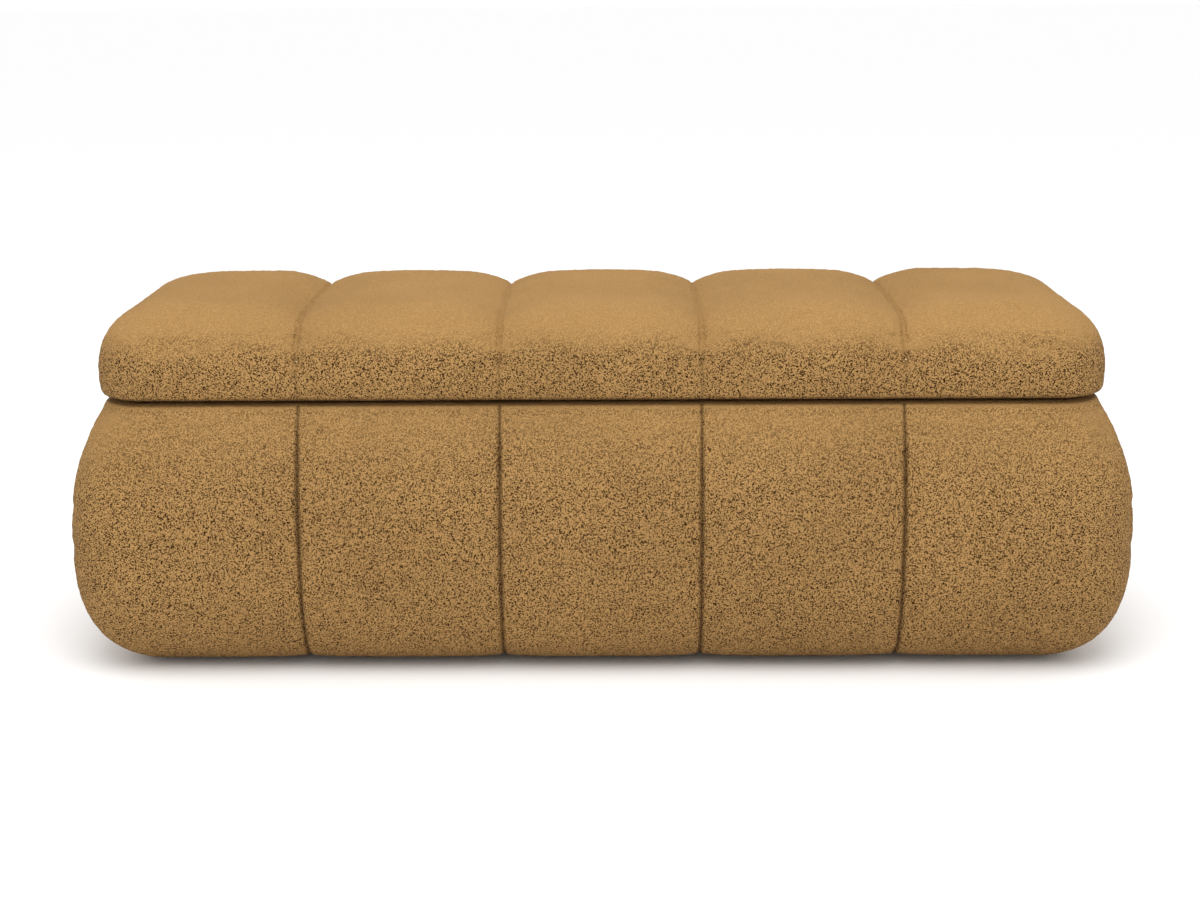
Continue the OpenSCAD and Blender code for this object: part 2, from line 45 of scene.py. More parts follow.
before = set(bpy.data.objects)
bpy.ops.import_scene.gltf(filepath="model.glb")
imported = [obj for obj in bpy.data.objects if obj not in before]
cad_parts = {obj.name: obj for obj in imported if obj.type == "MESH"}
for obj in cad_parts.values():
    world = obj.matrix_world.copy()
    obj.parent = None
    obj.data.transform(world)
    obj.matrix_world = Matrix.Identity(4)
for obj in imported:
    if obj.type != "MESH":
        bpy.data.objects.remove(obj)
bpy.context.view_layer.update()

BASE = "base"
LID = "lid"
CHANNELS = 5
MM = 0.001
FOLD_ANGLE = 40.0  # degrees; sharper edges of foam stay sharp


# ---------------------------------------------------------------- working on meshes


def deselect_all() -> None:
    """Leaves nothing selected."""
    if bpy.context.object and bpy.context.object.mode != "OBJECT":
        bpy.ops.object.mode_set(mode="OBJECT")
    bpy.ops.object.select_all(action="DESELECT")


def activate(piece: bpy.types.Object) -> None:
    """Makes one object the only selected one, and active."""
    deselect_all()
    piece.select_set(True)
    bpy.context.view_layer.objects.active = piece


@contextmanager
def editing(piece: bpy.types.Object) -> Iterator[None]:
    """Keeps a piece in edit mode while the block runs."""
    activate(piece)
    bpy.ops.object.mode_set(mode="EDIT")
    yield
    bpy.ops.object.mode_set(mode="OBJECT")


def rows_of(mesh: bpy.types.Mesh, field: str = "co") -> np.ndarray:
    """Reads an x, y, z row for each vertex: its place, or another field of three numbers."""
    flat = np.empty(len(mesh.vertices) * 3, dtype=np.float64)
    mesh.vertices.foreach_get(field, flat)
    return flat.reshape(-1, 3)


def points_of(piece: bpy.types.Object) -> np.ndarray:
    """Reads the places of a mesh object's vertices."""
    return rows_of(piece.data)


def move_points(piece: bpy.types.Object, points: np.ndarray) -> None:
    """Writes a mesh's vertices, one x, y, z row for each."""
    piece.data.vertices.foreach_set("co", np.ascontiguousarray(points, dtype=np.float32).ravel())
    piece.data.update()


def mesh_piece(name: str, points: np.ndarray, faces: Sequence[Sequence[int]]) -> bpy.types.Object:
    """Makes a mesh object from points and faces.

    Args:
        name: The object's name.
        points: Vertex rows.
        faces: Vertex numbers of each face, counter-clockwise from outside.

    Returns:
        The new object, at the origin.
    """
    mesh = bpy.data.meshes.new(name)
    mesh.from_pydata(points.tolist(), [], [list(f) for f in faces])
    mesh.validate()
    piece = bpy.data.objects.new(name, mesh)
    bpy.context.scene.collection.objects.link(piece)
    return piece


def apply_modifier(piece: bpy.types.Object, kind: str, **settings: object) -> None:
    """Adds one modifier, sets it and applies it.

    Args:
        piece: The mesh object.
        kind: Blender's name for the modifier's type.
        **settings: Values of the modifier's own properties.
    """
    activate(piece)
    modifier = piece.modifiers.new(kind.title(), kind)
    for key, value in settings.items():
        setattr(modifier, key, value)
    bpy.ops.object.modifier_apply(modifier=modifier.name)


def smooth(piece: bpy.types.Object, angle: float | None = None) -> None:
    """Shades a piece smooth, all over or only where its faces meet below an angle in degrees."""
    activate(piece)
    if angle is None:
        bpy.ops.object.shade_smooth()
    else:
        bpy.ops.object.shade_smooth_by_angle(angle=math.radians(angle))


def soft_noise(points: np.ndarray, wavelength: float, seed: float) -> np.ndarray:
    """Smooth random values at points, from a few crossed sine waves.

    Args:
        points: Vertex rows.
        wavelength: Typical distance between two bulges, in metres.
        seed: Shifts the waves' phases.

    Returns:
        One value for each point, from about -1 to 1.
    """
    total = np.zeros(len(points))
    rng = np.random.default_rng(int(seed * 1000))
    waves = 7
    for _ in range(waves):
        direction = rng.normal(size=3)
        direction /= np.linalg.norm(direction)
        stretch = rng.uniform(0.7, 1.5)
        phase = rng.uniform(0, math.tau)
        total += np.sin(points @ direction * math.tau / (wavelength * stretch) + phase)
    return total / math.sqrt(waves * 2)


def smoothstep(low: float, high: float, value: np.ndarray) -> np.ndarray:
    """Eases from 0 at low to 1 at high."""
    t = np.clip((value - low) / (high - low), 0, 1)
    return t * t * (3 - 2 * t)


# ---------------------------------------------------------------- materials


class Tree:
    """A short way to write shader nodes."""

    def __init__(self, nodes: bpy.types.NodeTree) -> None:
        """Keeps the tree that the nodes go into."""
        self.tree = nodes

    def add(self, kind: str, values: dict[str, object] | None = None,
            **settings: object) -> bpy.types.Node:
        """Adds a node.

        Args:
            kind: The node's type, without its "ShaderNode" prefix.
            values: Numbers, colours or output sockets for its inputs, by name or number.
            **settings: The node's own properties.

        Returns:
            The node.
        """
        node = self.tree.nodes.new("ShaderNode" + kind)
        for key, value in settings.items():
            setattr(node, key, value)
        for key, value in (values or {}).items():
            self.plug(node.inputs[key], value)
        return node

    def plug(self, socket: bpy.types.NodeSocket, value: object) -> None:
        """Links an input to an output socket, or sets it to a number or colour."""
        if isinstance(value, bpy.types.NodeSocket):
            self.tree.links.new(value, socket)
        else:
            socket.default_value = value

    def mix(self, factor: object, low: object, high: object) -> bpy.types.NodeSocket:
        """Mixes two colours and returns the result's socket."""
        return self.add("Mix", {0: factor, 6: low, 7: high}, data_type="RGBA").outputs[2]

    def math(self, operation: str, *values: object) -> bpy.types.NodeSocket:
        """Works out a sum or product and returns its socket."""
        return self.add("Math", dict(enumerate(values)), operation=operation).outputs[0]

    def ramp(self, value: bpy.types.NodeSocket, low: float, high: float) -> bpy.types.NodeSocket:
        """Spreads the values from low to high over 0 to 1, smoothly."""
        return self.add("MapRange", {0: value, 1: low, 2: high},
                        interpolation_type="SMOOTHSTEP").outputs[0]

    def between(self, value: bpy.types.NodeSocket, low: float,
                high: float) -> bpy.types.NodeSocket:
        """Spreads values from 0 to 1 over low to high."""
        return self.add("MapRange", {0: value, 3: low, 4: high}).outputs[0]

    def stain(self, tone: bpy.types.Node, share: float, clean: object,
              stained: object) -> bpy.types.NodeSocket:
        """Mixes a second colour into the first in broad drifts."""
        return self.mix(self.math("MULTIPLY", tone.outputs["Drift"], share), clean, stained)


def colour(red: float, green: float, blue: float) -> tuple[float, float, float, float]:
    """Turns a screen colour from 0 to 255 into a linear one with full alpha."""
    def linear(c: float) -> float:
        """One channel."""
        c /= 255
        return c / 12.92 if c <= 0.04045 else ((c + 0.055) / 1.055) ** 2.4
    return linear(red), linear(green), linear(blue), 1.0


def effect_group(name: str, inputs: Sequence[tuple[str, str, float]], outputs: Sequence[str],
                 build: Callable[[Tree, bpy.types.Node], dict[str, bpy.types.NodeSocket]]
                 ) -> bpy.types.NodeTree:
    """Builds a shader node group once.

    Args:
        name: The group's name.
        inputs: Name, socket type and default of each input.
        outputs: Names of the outputs, all plain values.
        build: Adds the nodes and says which socket feeds each output.

    Returns:
        The group.
    """
    if name in bpy.data.node_groups:
        return bpy.data.node_groups[name]
    group = bpy.data.node_groups.new(name, "ShaderNodeTree")
    for label, kind, default in inputs:
        socket = group.interface.new_socket(label, in_out="INPUT", socket_type=kind)
        if kind == "NodeSocketFloat":
            socket.default_value = default
    for label in outputs:
        group.interface.new_socket(label, in_out="OUTPUT", socket_type="NodeSocketFloat")
    tree = Tree(group)
    entry = group.nodes.new("NodeGroupInput")
    leave = group.nodes.new("NodeGroupOutput")
    for label, socket in build(tree, entry).items():
        group.links.new(socket, leave.inputs[label])
    return group


VECTOR = "NodeSocketVector"
FLOAT = "NodeSocketFloat"


def speckle_group() -> bpy.types.NodeTree:
    """Uneven tone: broad drifts and fine specks, for any material that isn't one flat colour."""
    def build(tree: Tree, entry: bpy.types.Node) -> dict[str, bpy.types.NodeSocket]:
        """Adds the two noises."""
        place = entry.outputs["Vector"]
        broad = tree.add("TexNoise", {"Vector": place, "Scale": entry.outputs["Broad"],
                                      "Detail": 2.0})
        fine = tree.add("TexNoise", {"Vector": place, "Scale": entry.outputs["Fine"],
                                     "Detail": 3.0, "Roughness": 0.6})
        return {"Drift": tree.ramp(broad.outputs[0], 0.3, 0.7),
                "Speck": tree.ramp(fine.outputs[0], 0.35, 0.65)}
    return effect_group("speckle", [("Vector", VECTOR, 0), ("Broad", FLOAT, 6),
                                    ("Fine", FLOAT, 400)], ["Drift", "Speck"], build)


def loop_pile_group() -> bpy.types.NodeTree:
    """Curly loops of yarn: their height, and how far they cover the gaps between them, where the
    boucle paints shade.
    """
    def build(tree: Tree, entry: bpy.types.Node) -> dict[str, bpy.types.NodeSocket]:
        """Bends one noise along another, so that its bumps become curls."""
        place = entry.outputs["Vector"]
        curls = tree.add("TexNoise", {"Vector": place, "Scale": entry.outputs["Loops"],
                                      "Detail": 1.0, "Roughness": 0.6,
                                      "Distortion": entry.outputs["Curl"]})
        knots = tree.add("TexVoronoi", {"Vector": place, "Scale": entry.outputs["Loops"]})
        yarn = tree.math("ADD", tree.math("MULTIPLY", curls.outputs[0], 0.8),
                         tree.math("MULTIPLY", knots.outputs["Distance"], -0.22))
        return {"Height": yarn, "Cover": tree.ramp(yarn, 0.195, 0.31)}
    return effect_group("loop_pile", [("Vector", VECTOR, 0), ("Loops", FLOAT, 260),
                                      ("Curl", FLOAT, 0.6)], ["Height", "Cover"], build)


def grain_group() -> bpy.types.NodeTree:
    """Wood grain: long streaks and growth rings along the vector's X."""
    def build(tree: Tree, entry: bpy.types.Node) -> dict[str, bpy.types.NodeSocket]:
        """Stretches a noise along X and lays rings over it."""
        long = tree.add("Mapping", {"Vector": entry.outputs["Vector"],
                                    "Scale": (0.06, 1.0, 1.0)}).outputs[0]
        streak = tree.add("TexNoise", {"Vector": long, "Scale": entry.outputs["Pores"],
                                       "Detail": 4.0})
        rings = tree.add("TexWave", {"Vector": long, "Scale": entry.outputs["Rings"],
                                     "Distortion": 6.0, "Detail": 2.0}, bands_direction="Y")
        return {"Streak": tree.ramp(streak.outputs[0], 0.3, 0.7), "Ring": rings.outputs[1]}
    return effect_group("grain", [("Vector", VECTOR, 0), ("Pores", FLOAT, 500),
                                  ("Rings", FLOAT, 18)], ["Streak", "Ring"], build)


class Finish:
    """One material, made when it is first asked for."""

    name: str = "finish"
    slot: str = ""

    def material(self) -> bpy.types.Material:
        """The material, built once."""
        if self.name in bpy.data.materials:
            return bpy.data.materials[self.name]
        made = bpy.data.materials.new(self.name)
        made.use_nodes = True
        made.node_tree.nodes.clear()
        tree = Tree(made.node_tree)
        place = tree.add("TexCoord").outputs["Object"]
        shader = tree.add("BsdfPrincipled")
        out = tree.add("OutputMaterial")
        made.node_tree.links.new(shader.outputs[0], out.inputs[0])
        self.dress(tree, shader, place)
        return made

    def dress(self, tree: Tree, shader: bpy.types.Node, place: bpy.types.NodeSocket) -> None:
        """Sets the shader's values and links its maps."""
        raise NotImplementedError

    def feed(self, tree: Tree, shader: bpy.types.Node, **inputs: object) -> None:
        """Links or sets the shader's inputs, whose names have _ for a space."""
        for key, value in inputs.items():
            tree.plug(shader.inputs[key.replace("_", " ")], value)

    def bump(self, tree: Tree, height: bpy.types.NodeSocket, depth: float,
             strength: float = 1.0) -> bpy.types.NodeSocket:
        """A normal from heights of a given depth in metres."""
        return tree.add("Bump", {"Height": height, "Distance": depth,
                                 "Strength": strength}).outputs[0]

    def use(self, tree: Tree, group: bpy.types.NodeTree, place: bpy.types.NodeSocket,
            **values: float) -> bpy.types.Node:
        """Places an effect group with its own values."""
        return tree.add("Group", {"Vector": place, **values}, node_tree=group)


@dataclass(frozen=True)
class Boucle(Finish):
    """Looped ochre pile, with painted shade in the gaps between the loops."""

    name: str = "ochre_boucle"
    slot: str = "boucle"
    loop: tuple[float, ...] = (0.360, 0.202, 0.068, 1.0)
    light_loop: tuple[float, ...] = (0.475, 0.278, 0.105, 1.0)
    # painted shade: near-black colour standing in for the shadow in the gaps between loops
    loop_gap_shade: tuple[float, ...] = (0.030, 0.011, 0.002, 1.0)
    # painted shade: near-black colour for the shade in seam creases, the pinch dimples and the gap
    # between lid and body
    seam: tuple[float, ...] = (0.035, 0.015, 0.005, 1.0)
    loops: float = 540.0
    curl: float = 0.7
    depth: float = 3.2 * MM

    def dress(self, tree: Tree, shader: bpy.types.Node, place: bpy.types.NodeSocket) -> None:
        """Colours the loops, paints shade in the gaps between them and lightens that shade on
        faces turned up, and raises the loops.
        """
        pile = self.use(tree, loop_pile_group(), place, Loops=self.loops, Curl=self.curl)
        tone = self.use(tree, speckle_group(), place, Broad=5.0, Fine=900.0)
        loops = tree.mix(tree.math("MULTIPLY", tone.outputs["Speck"], 0.9), self.loop,
                         self.light_loop)
        # painted light: on faces turned up the gaps' painted shade fades, as though light from
        # above reached into the pile, so tops read lighter
        up = tree.add("SeparateXYZ", {0: tree.add("TexCoord").outputs["Normal"]}).outputs[2]
        painted_top_light = tree.math("MULTIPLY", tree.ramp(up, 0.1, 0.75), 0.83)
        cover = tree.math("MAXIMUM", pile.outputs["Cover"], painted_top_light)
        # painted shade: where no loop covers, the colour is the gaps' painted shade
        cloth = tree.mix(cover, self.loop_gap_shade, loops)
        faded = tree.stain(tone, 0.10, cloth, self.loop_gap_shade)
        # painted shade: the seam attribute darkens seam creases, pinch dimples and the rims at the
        # gap
        crease = tree.add("Attribute", attribute_name="seam").outputs["Fac"]
        self.feed(tree, shader, Base_Color=tree.mix(crease, faded, self.seam),
                  Normal=self.bump(tree, pile.outputs["Height"], self.depth, 0.9),
                  Roughness=0.95, Specular_IOR_Level=0.1)


class Weave(Enum):
    """How a plain cloth is made."""

    TWILL = "twill"
    SPUNBOND = "spunbond"


@dataclass(frozen=True)
class Cloth(Finish):
    """Black lining or dust cloth."""

    name: str = "black_lining"
    slot: str = "lining_cloth"
    weave: Weave = Weave.TWILL
    thread: tuple[float, ...] = colour(52, 50, 49)
    shade: tuple[float, ...] = colour(30, 29, 29)
    threads: float = 260.0

    def dress(self, tree: Tree, shader: bpy.types.Node, place: bpy.types.NodeSocket) -> None:
        """Lays diagonal ribs for a twill, or pressed dots for a spun-bonded cloth."""
        tone = self.use(tree, speckle_group(), place, Broad=7.0, Fine=1400.0)
        if self.weave is Weave.TWILL:
            ribs = tree.add("TexWave", {"Vector": place, "Scale": self.threads,
                                        "Distortion": 0.6}, bands_direction="DIAGONAL")
            raised = ribs.outputs[1]
        else:
            dots = tree.add("TexVoronoi", {"Vector": place, "Scale": self.threads,
                                           "Randomness": 0.15})
            raised = tree.ramp(dots.outputs["Distance"], 0.1, 0.4)
        height = tree.math("ADD", raised, tree.math("MULTIPLY", tone.outputs["Speck"], 0.5))
        woven = tree.mix(raised, self.shade, self.thread)
        self.feed(tree, shader, Base_Color=tree.stain(tone, 0.35, woven, self.shade),
                  Normal=self.bump(tree, height, 0.3 * MM, 0.7), Roughness=0.9,
                  Sheen_Weight=0.15)


@dataclass(frozen=True)
class Foam(Finish):
    """Cut polyurethane foam with open cells."""

    name: str = "cut_foam"
    slot: str = "foam"

    def dress(self, tree: Tree, shader: bpy.types.Node, place: bpy.types.NodeSocket) -> None:
        """Pits the surface with cells, paints shade in the pits, and yellows it unevenly."""
        cells = tree.add("TexVoronoi", {"Vector": place, "Scale": 700.0})
        tone = self.use(tree, speckle_group(), place, Broad=9.0, Fine=300.0)
        body = tree.mix(tone.outputs["Drift"], colour(238, 226, 182), colour(226, 208, 150))
        pits = tree.ramp(cells.outputs["Distance"], 0.05, 0.5)
        # painted shade: the cells' pits take a darker colour than the foam around them
        self.feed(tree, shader, Base_Color=tree.mix(pits, colour(190, 168, 110), body),
                  Normal=self.bump(tree, pits, 0.6 * MM), Roughness=0.95)


class Stuff(Enum):
    """What a board is made of."""

    PINE = "pine"
    PLYWOOD = "plywood"
    PARTICLEBOARD = "particleboard"


@dataclass(frozen=True)
class Timber(Finish):
    """Raw wood, as it comes from the saw."""

    name: str = "pine"
    slot: str = "pine"
    stuff: Stuff = Stuff.PINE
    light: tuple[float, ...] = colour(222, 190, 138)
    dark: tuple[float, ...] = colour(186, 142, 88)

    def dress(self, tree: Tree, shader: bpy.types.Node, place: bpy.types.NodeSocket) -> None:
        """Draws grain on sawn wood and chips on particleboard."""
        tone = self.use(tree, speckle_group(), place, Broad=5.0, Fine=700.0)
        if self.stuff is Stuff.PARTICLEBOARD:
            chips = tree.add("TexVoronoi", {"Vector": place, "Scale": 190.0})
            pattern = tree.math("ADD", tree.math("MULTIPLY", chips.outputs["Distance"], 0.7),
                                tree.math("MULTIPLY", tone.outputs["Speck"], 0.4))
        else:
            rings = 5.0 if self.stuff is Stuff.PLYWOOD else 14.0
            grain = self.use(tree, grain_group(), place, Pores=600.0, Rings=rings)
            pattern = tree.math("ADD", tree.math("MULTIPLY", grain.outputs["Ring"], 0.55),
                                tree.math("MULTIPLY", grain.outputs["Streak"], 0.45))
        wood = tree.mix(pattern, self.light, self.dark)
        self.feed(tree, shader, Base_Color=tree.stain(tone, 0.3, wood, self.dark),
                  Roughness=tree.between(pattern, 0.6, 0.8),
                  Normal=self.bump(tree, pattern, 0.25 * MM, 0.5))


@dataclass(frozen=True)
class Metal(Finish):
    """Plated, coated or ground steel."""

    name: str = "zinc_plate"
    slot: str = "zinc_steel"
    tint: tuple[float, ...] = colour(196, 198, 202)
    dull: tuple[float, ...] = colour(150, 150, 150)
    metallic: float = 1.0
    roughness: tuple[float, float] = (0.25, 0.45)
    peel: float = 0.02 * MM
    relief: float = 0.6
    scale: float = 500.0
    drift: float = 60.0

    def dress(self, tree: Tree, shader: bpy.types.Node, place: bpy.types.NodeSocket) -> None:
        """Breaks the skin's shine with stains, and textures it."""
        tone = self.use(tree, speckle_group(), place, Broad=self.drift, Fine=self.scale)
        speck = tone.outputs["Speck"]
        self.feed(tree, shader, Base_Color=tree.stain(tone, 0.5, self.tint, self.dull),
                  Roughness=tree.between(speck, *self.roughness),
                  Normal=self.bump(tree, speck, self.peel, self.relief),
                  Metallic=self.metallic)


@dataclass(frozen=True)
class Moulded(Metal):
    """Moulded nylon or rubber: stained and textured as a coat is, but finer and not metallic."""

    name: str = "black_nylon"
    slot: str = "glide_plastic"
    tint: tuple[float, ...] = colour(34, 34, 35)
    dull: tuple[float, ...] = colour(58, 57, 56)
    metallic: float = 0.0
    roughness: tuple[float, float] = (0.45, 0.62)
    peel: float = 0.05 * MM
    relief: float = 0.5
    scale: float = 1600.0
    drift: float = 45.0


BOUCLE = Boucle()
FOAM = Foam()
LINING = Cloth()
DUST = Cloth(name="spunbond", slot="dust_cloth", weave=Weave.SPUNBOND, threads=420.0,
             thread=colour(44, 44, 45), shade=colour(24, 24, 25))
PINE = Timber()
PLYWOOD = Timber(name="birch_plywood", slot="plywood", stuff=Stuff.PLYWOOD,
                 light=colour(224, 200, 156), dark=colour(196, 164, 116))
PARTICLE = Timber(name="particleboard", slot="particleboard", stuff=Stuff.PARTICLEBOARD,
                  light=colour(212, 184, 138), dark=colour(160, 124, 80))
ZINC = Metal()
BLACK_COAT = Metal(name="black_powder_coat", slot="black_steel", tint=colour(30, 30, 31),
                   dull=colour(42, 42, 43), metallic=0.0, roughness=(0.4, 0.55),
                   peel=0.06 * MM, scale=1200.0)
ENAMEL = Metal(name="satin_enamel", slot="strut_enamel", tint=colour(24, 24, 25),
               dull=colour(34, 34, 35), metallic=0.0, roughness=(0.22, 0.34),
               peel=0.02 * MM, scale=900.0)
BRIGHT_ROD = Metal(name="ground_rod", slot="bright_rod", tint=colour(222, 223, 226),
                   dull=colour(190, 190, 192), roughness=(0.08, 0.2), peel=0.005 * MM)
NYLON = Moulded()
STRUT_NYLON = Moulded(name="strut_nylon", slot="strut_plastic")
RUBBER = Moulded(name="bumper_rubber", slot="bumper_rubber", tint=colour(28, 28, 28),
                 dull=colour(46, 45, 44), roughness=(0.7, 0.85))


def finish_piece(piece: bpy.types.Object, look: Finish, body: str,
                 replaced: Iterable[str] = ()) -> bpy.types.Object:
    """Gives a new piece its material, its body and the CAD nodes that it stands for.

    Args:
        piece: The finished mesh object.
        look: Its material.
        body: The CAD body that it moves with.
        replaced: Names of the CAD nodes that it replaces.

    Returns:
        The same object.
    """
    piece.data.materials.clear()
    piece.data.materials.append(look.material())
    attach(piece, body)
    for name in replaced:
        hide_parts(name)
    LOG.info("%s: %d faces on %s", piece.name, len(piece.data.polygons), body)
    return piece


def finish_foam(piece: bpy.types.Object, body: str, node: str) -> None:
    """Shades a foam pad and puts it in its CAD node's place."""
    smooth(piece, FOLD_ANGLE)
    finish_piece(piece, FOAM, body, [node])


# ---------------------------------------------------------------- plan outlines and seams


@dataclass(frozen=True)
class PlanRing:
    """Stations round a rounded rectangle, counter-clockwise from its front left corner.

    The long sides keep a station on every seam at any size, and each corner's arc is
    split at its middle between the two sides that meet there.
    """

    seams: tuple[float, ...]
    pitch: float
    half: tuple[float, float]
    radius: float
    tighten: float = 0.08

    @property
    def arc_steps(self) -> int:
        """Stations on half a corner."""
        return max(4, round(self.radius * math.pi / 4 / self.pitch))

    @property
    def front_steps(self) -> int:
        """Stations on the front, corners' halves included."""
        return 2 * self.arc_steps + 2 * self._outer_steps + (len(self.seams) - 1) * self._mid_steps

    @property
    def side_steps(self) -> int:
        """Stations on one end, corners' halves included."""
        straight = 2 * (self.half[1] - self.radius)
        return 2 * self.arc_steps + max(8, round(straight / self.pitch))

    @property
    def count(self) -> int:
        """Stations in the whole ring."""
        return 2 * (self.front_steps + self.side_steps)

    @property
    def _outer_steps(self) -> int:
        """Stations between an outer seam and the corner."""
        return max(6, round((self.half[0] - self.radius - self.seams[-1]) / self.pitch))

    @property
    def _mid_steps(self) -> int:
        """Stations across one channel."""
        return max(8, round((self.seams[1] - self.seams[0]) / self.pitch))

    def _spread(self, steps: int) -> np.ndarray:
        """Shares from 0 up to 1, closer together at both ends."""
        t = np.arange(steps) / steps
        return t - self.tighten * np.sin(math.tau * t)

    def _front(self, hx: float, hy: float, r: float) -> tuple[np.ndarray, np.ndarray]:
        """Points and outward normals of the front, from its left corner's middle."""
        outer = self.seams[-1]
        arc = np.arange(self.arc_steps) / self.arc_steps * math.pi / 4
        left = math.pi / 4 - arc
        straight = [-(outer + (1 - self._spread(self._outer_steps)) * (hx - r - outer))]
        for low, high in zip(self.seams, self.seams[1:]):
            straight.append(low + self._spread(self._mid_steps) * (high - low))
        straight.append(outer + self._spread(self._outer_steps) * (hx - r - outer))
        line = np.concatenate(straight)
        x = np.concatenate([-(hx - r) - r * np.sin(left), line, (hx - r) + r * np.sin(arc)])
        y = np.concatenate([-(hy - r) - r * np.cos(left), np.full_like(line, -hy),
                            -(hy - r) - r * np.cos(arc)])
        u = np.concatenate([-np.sin(left), np.zeros_like(line), np.sin(arc)])
        v = np.concatenate([-np.cos(left), -np.ones_like(line), -np.cos(arc)])
        return np.stack([x, y], 1), np.stack([u, v], 1)

    def _right(self, hx: float, hy: float, r: float) -> tuple[np.ndarray, np.ndarray]:
        """Points and outward normals of the right end, from its front corner's middle."""
        arc = np.arange(self.arc_steps) / self.arc_steps * math.pi / 4
        low = math.pi / 4 - arc
        steps = self.side_steps - 2 * self.arc_steps
        line = -(hy - r) + np.arange(steps) / steps * 2 * (hy - r)
        x = np.concatenate([(hx - r) + r * np.cos(low), np.full_like(line, hx),
                            (hx - r) + r * np.cos(arc)])
        y = np.concatenate([-(hy - r) - r * np.sin(low), line, (hy - r) + r * np.sin(arc)])
        u = np.concatenate([np.cos(low), np.ones_like(line), np.cos(arc)])
        v = np.concatenate([-np.sin(low), np.zeros_like(line), np.sin(arc)])
        return np.stack([x, y], 1), np.stack([u, v], 1)

    def at(self, hx: float, hy: float, r: float) -> tuple[np.ndarray, np.ndarray]:
        """The ring for one size.

        Args:
            hx: Half the length.
            hy: Half the depth.
            r: Corner radius.

        Returns:
            Plan points and outward plan normals, one row for each station.
        """
        front, front_n = self._front(hx, hy, r)
        right, right_n = self._right(hx, hy, r)
        return (np.concatenate([front, right, -front, -right]),
                np.concatenate([front_n, right_n, -front_n, -right_n]))

    def seam_distance(self, x: np.ndarray, on_long_side: np.ndarray) -> np.ndarray:
        """Distance of each point from the nearest seam.

        Args:
            x: The points' places along the ottoman.
            on_long_side: False where a point is on an end, which has no seam.

        Returns:
            The distances, which are large off the long sides.
        """
        gap = np.min(np.abs(x[..., None] - np.array(self.seams)), axis=-1)
        return np.where(on_long_side, gap, 1.0)

    def long_side(self) -> np.ndarray:
        """True for the stations on the front and the back."""
        one = np.zeros(self.front_steps + self.side_steps, dtype=bool)
        one[:self.front_steps] = True
        return np.tile(one, 2)


def seam_places() -> tuple[float, ...]:
    """Where the seams are along X: in the slits between the front's foam pads."""
    places = []
    for n in range(1, CHANNELS):
        left_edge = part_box(f"front_channel_pad_{n}")[1].x
        right_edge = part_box(f"front_channel_pad_{n + 1}")[0].x
        places.append((left_edge + right_edge) / 2)
    return tuple(places)


@dataclass(frozen=True)
class Level:
    """One row of a skin: its inset and corner radius in plan, its height, the way it faces
    out and up, and how deep its seams are."""

    inset: float
    radius: float
    z: float
    out: float
    up: float
    seam: float = 1.0


def torus_faces(rows: int, columns: int) -> np.ndarray:
    """Quads of a grid that closes on itself both ways."""
    row, column = np.meshgrid(np.arange(rows), np.arange(columns), indexing="ij")
    here = row * columns + column
    right = row * columns + (column + 1) % columns
    above = ((row + 1) % rows) * columns + column
    far = ((row + 1) % rows) * columns + (column + 1) % columns
    return np.stack([here, right, far, above], -1).reshape(-1, 4)


def resample(path: list[Level], pitch: float) -> list[Level]:
    """Spaces a path of levels evenly.

    Args:
        path: Corner points of the profile, in order.
        pitch: Wanted distance between rows.

    Returns:
        The levels at about that distance, ends included.
    """
    table = np.array([[p.inset, p.radius, p.z, p.out, p.up, p.seam] for p in path])
    run = np.concatenate([[0], np.cumsum(np.hypot(np.diff(table[:, 0]), np.diff(table[:, 2])))])
    steps = max(1, round(run[-1] / pitch))
    wanted = np.linspace(0, run[-1], steps + 1)
    spaced = np.stack([np.interp(wanted, run, table[:, k]) for k in range(6)], 1)
    length = np.hypot(spaced[:, 3], spaced[:, 4])
    spaced[:, 3] /= length
    spaced[:, 4] /= length
    return [Level(*row) for row in spaced]


def crown_step(angle: float, power: float, width: float,
               rise: float) -> tuple[float, float, float, float]:
    """One point on the quarter of a superellipse.

    Args:
        angle: Its angle, 0 at the widest place and a quarter turn at the top.
        power: The superellipse's power: 2 for an ellipse, more for a boxier one.
        width: Its half width.
        rise: Its half height.

    Returns:
        Shares of the half width and the half height, and how far it faces out and up.
    """
    c, s = math.cos(angle) ** (2 / power), math.sin(angle) ** (2 / power)
    least = 1e-6
    return c, s, max(c, least) ** (power - 1) / width, max(s, least) ** (power - 1) / rise


def near_outline(points: np.ndarray, half: tuple[float, float], radius: float) -> np.ndarray:
    """1 at a rounded rectangle's outline, easing to 0 about 15 mm inside it.

    Args:
        points: Vertex rows.
        half: Half the rectangle's length and depth.
        radius: Its corner radius.

    Returns:
        One value for each point.
    """
    past_x = np.abs(points[:, 0]) - (half[0] - radius)
    past_y = np.abs(points[:, 1]) - (half[1] - radius)
    outside = np.hypot(np.maximum(past_x, 0), np.maximum(past_y, 0))
    inside = radius - outside - np.minimum(np.maximum(past_x, past_y), 0)
    return 1 - smoothstep(5 * MM, 15 * MM, inside)


# ---------------------------------------------------------------- cloth and pile


CLOTH_FRAMES = 20
CLOTH_SETTINGS = {
    "quality": 3, "mass": 0.3, "tension_stiffness": 10, "compression_stiffness": 10,
    "shear_stiffness": 5, "bending_stiffness": 1, "use_pressure": True,
    "uniform_pressure_force": 4.0}
TUFTS = ((9.0 * MM, 1.3 * MM), (5.0 * MM, 1.1 * MM))  # width and height, coarse and fine


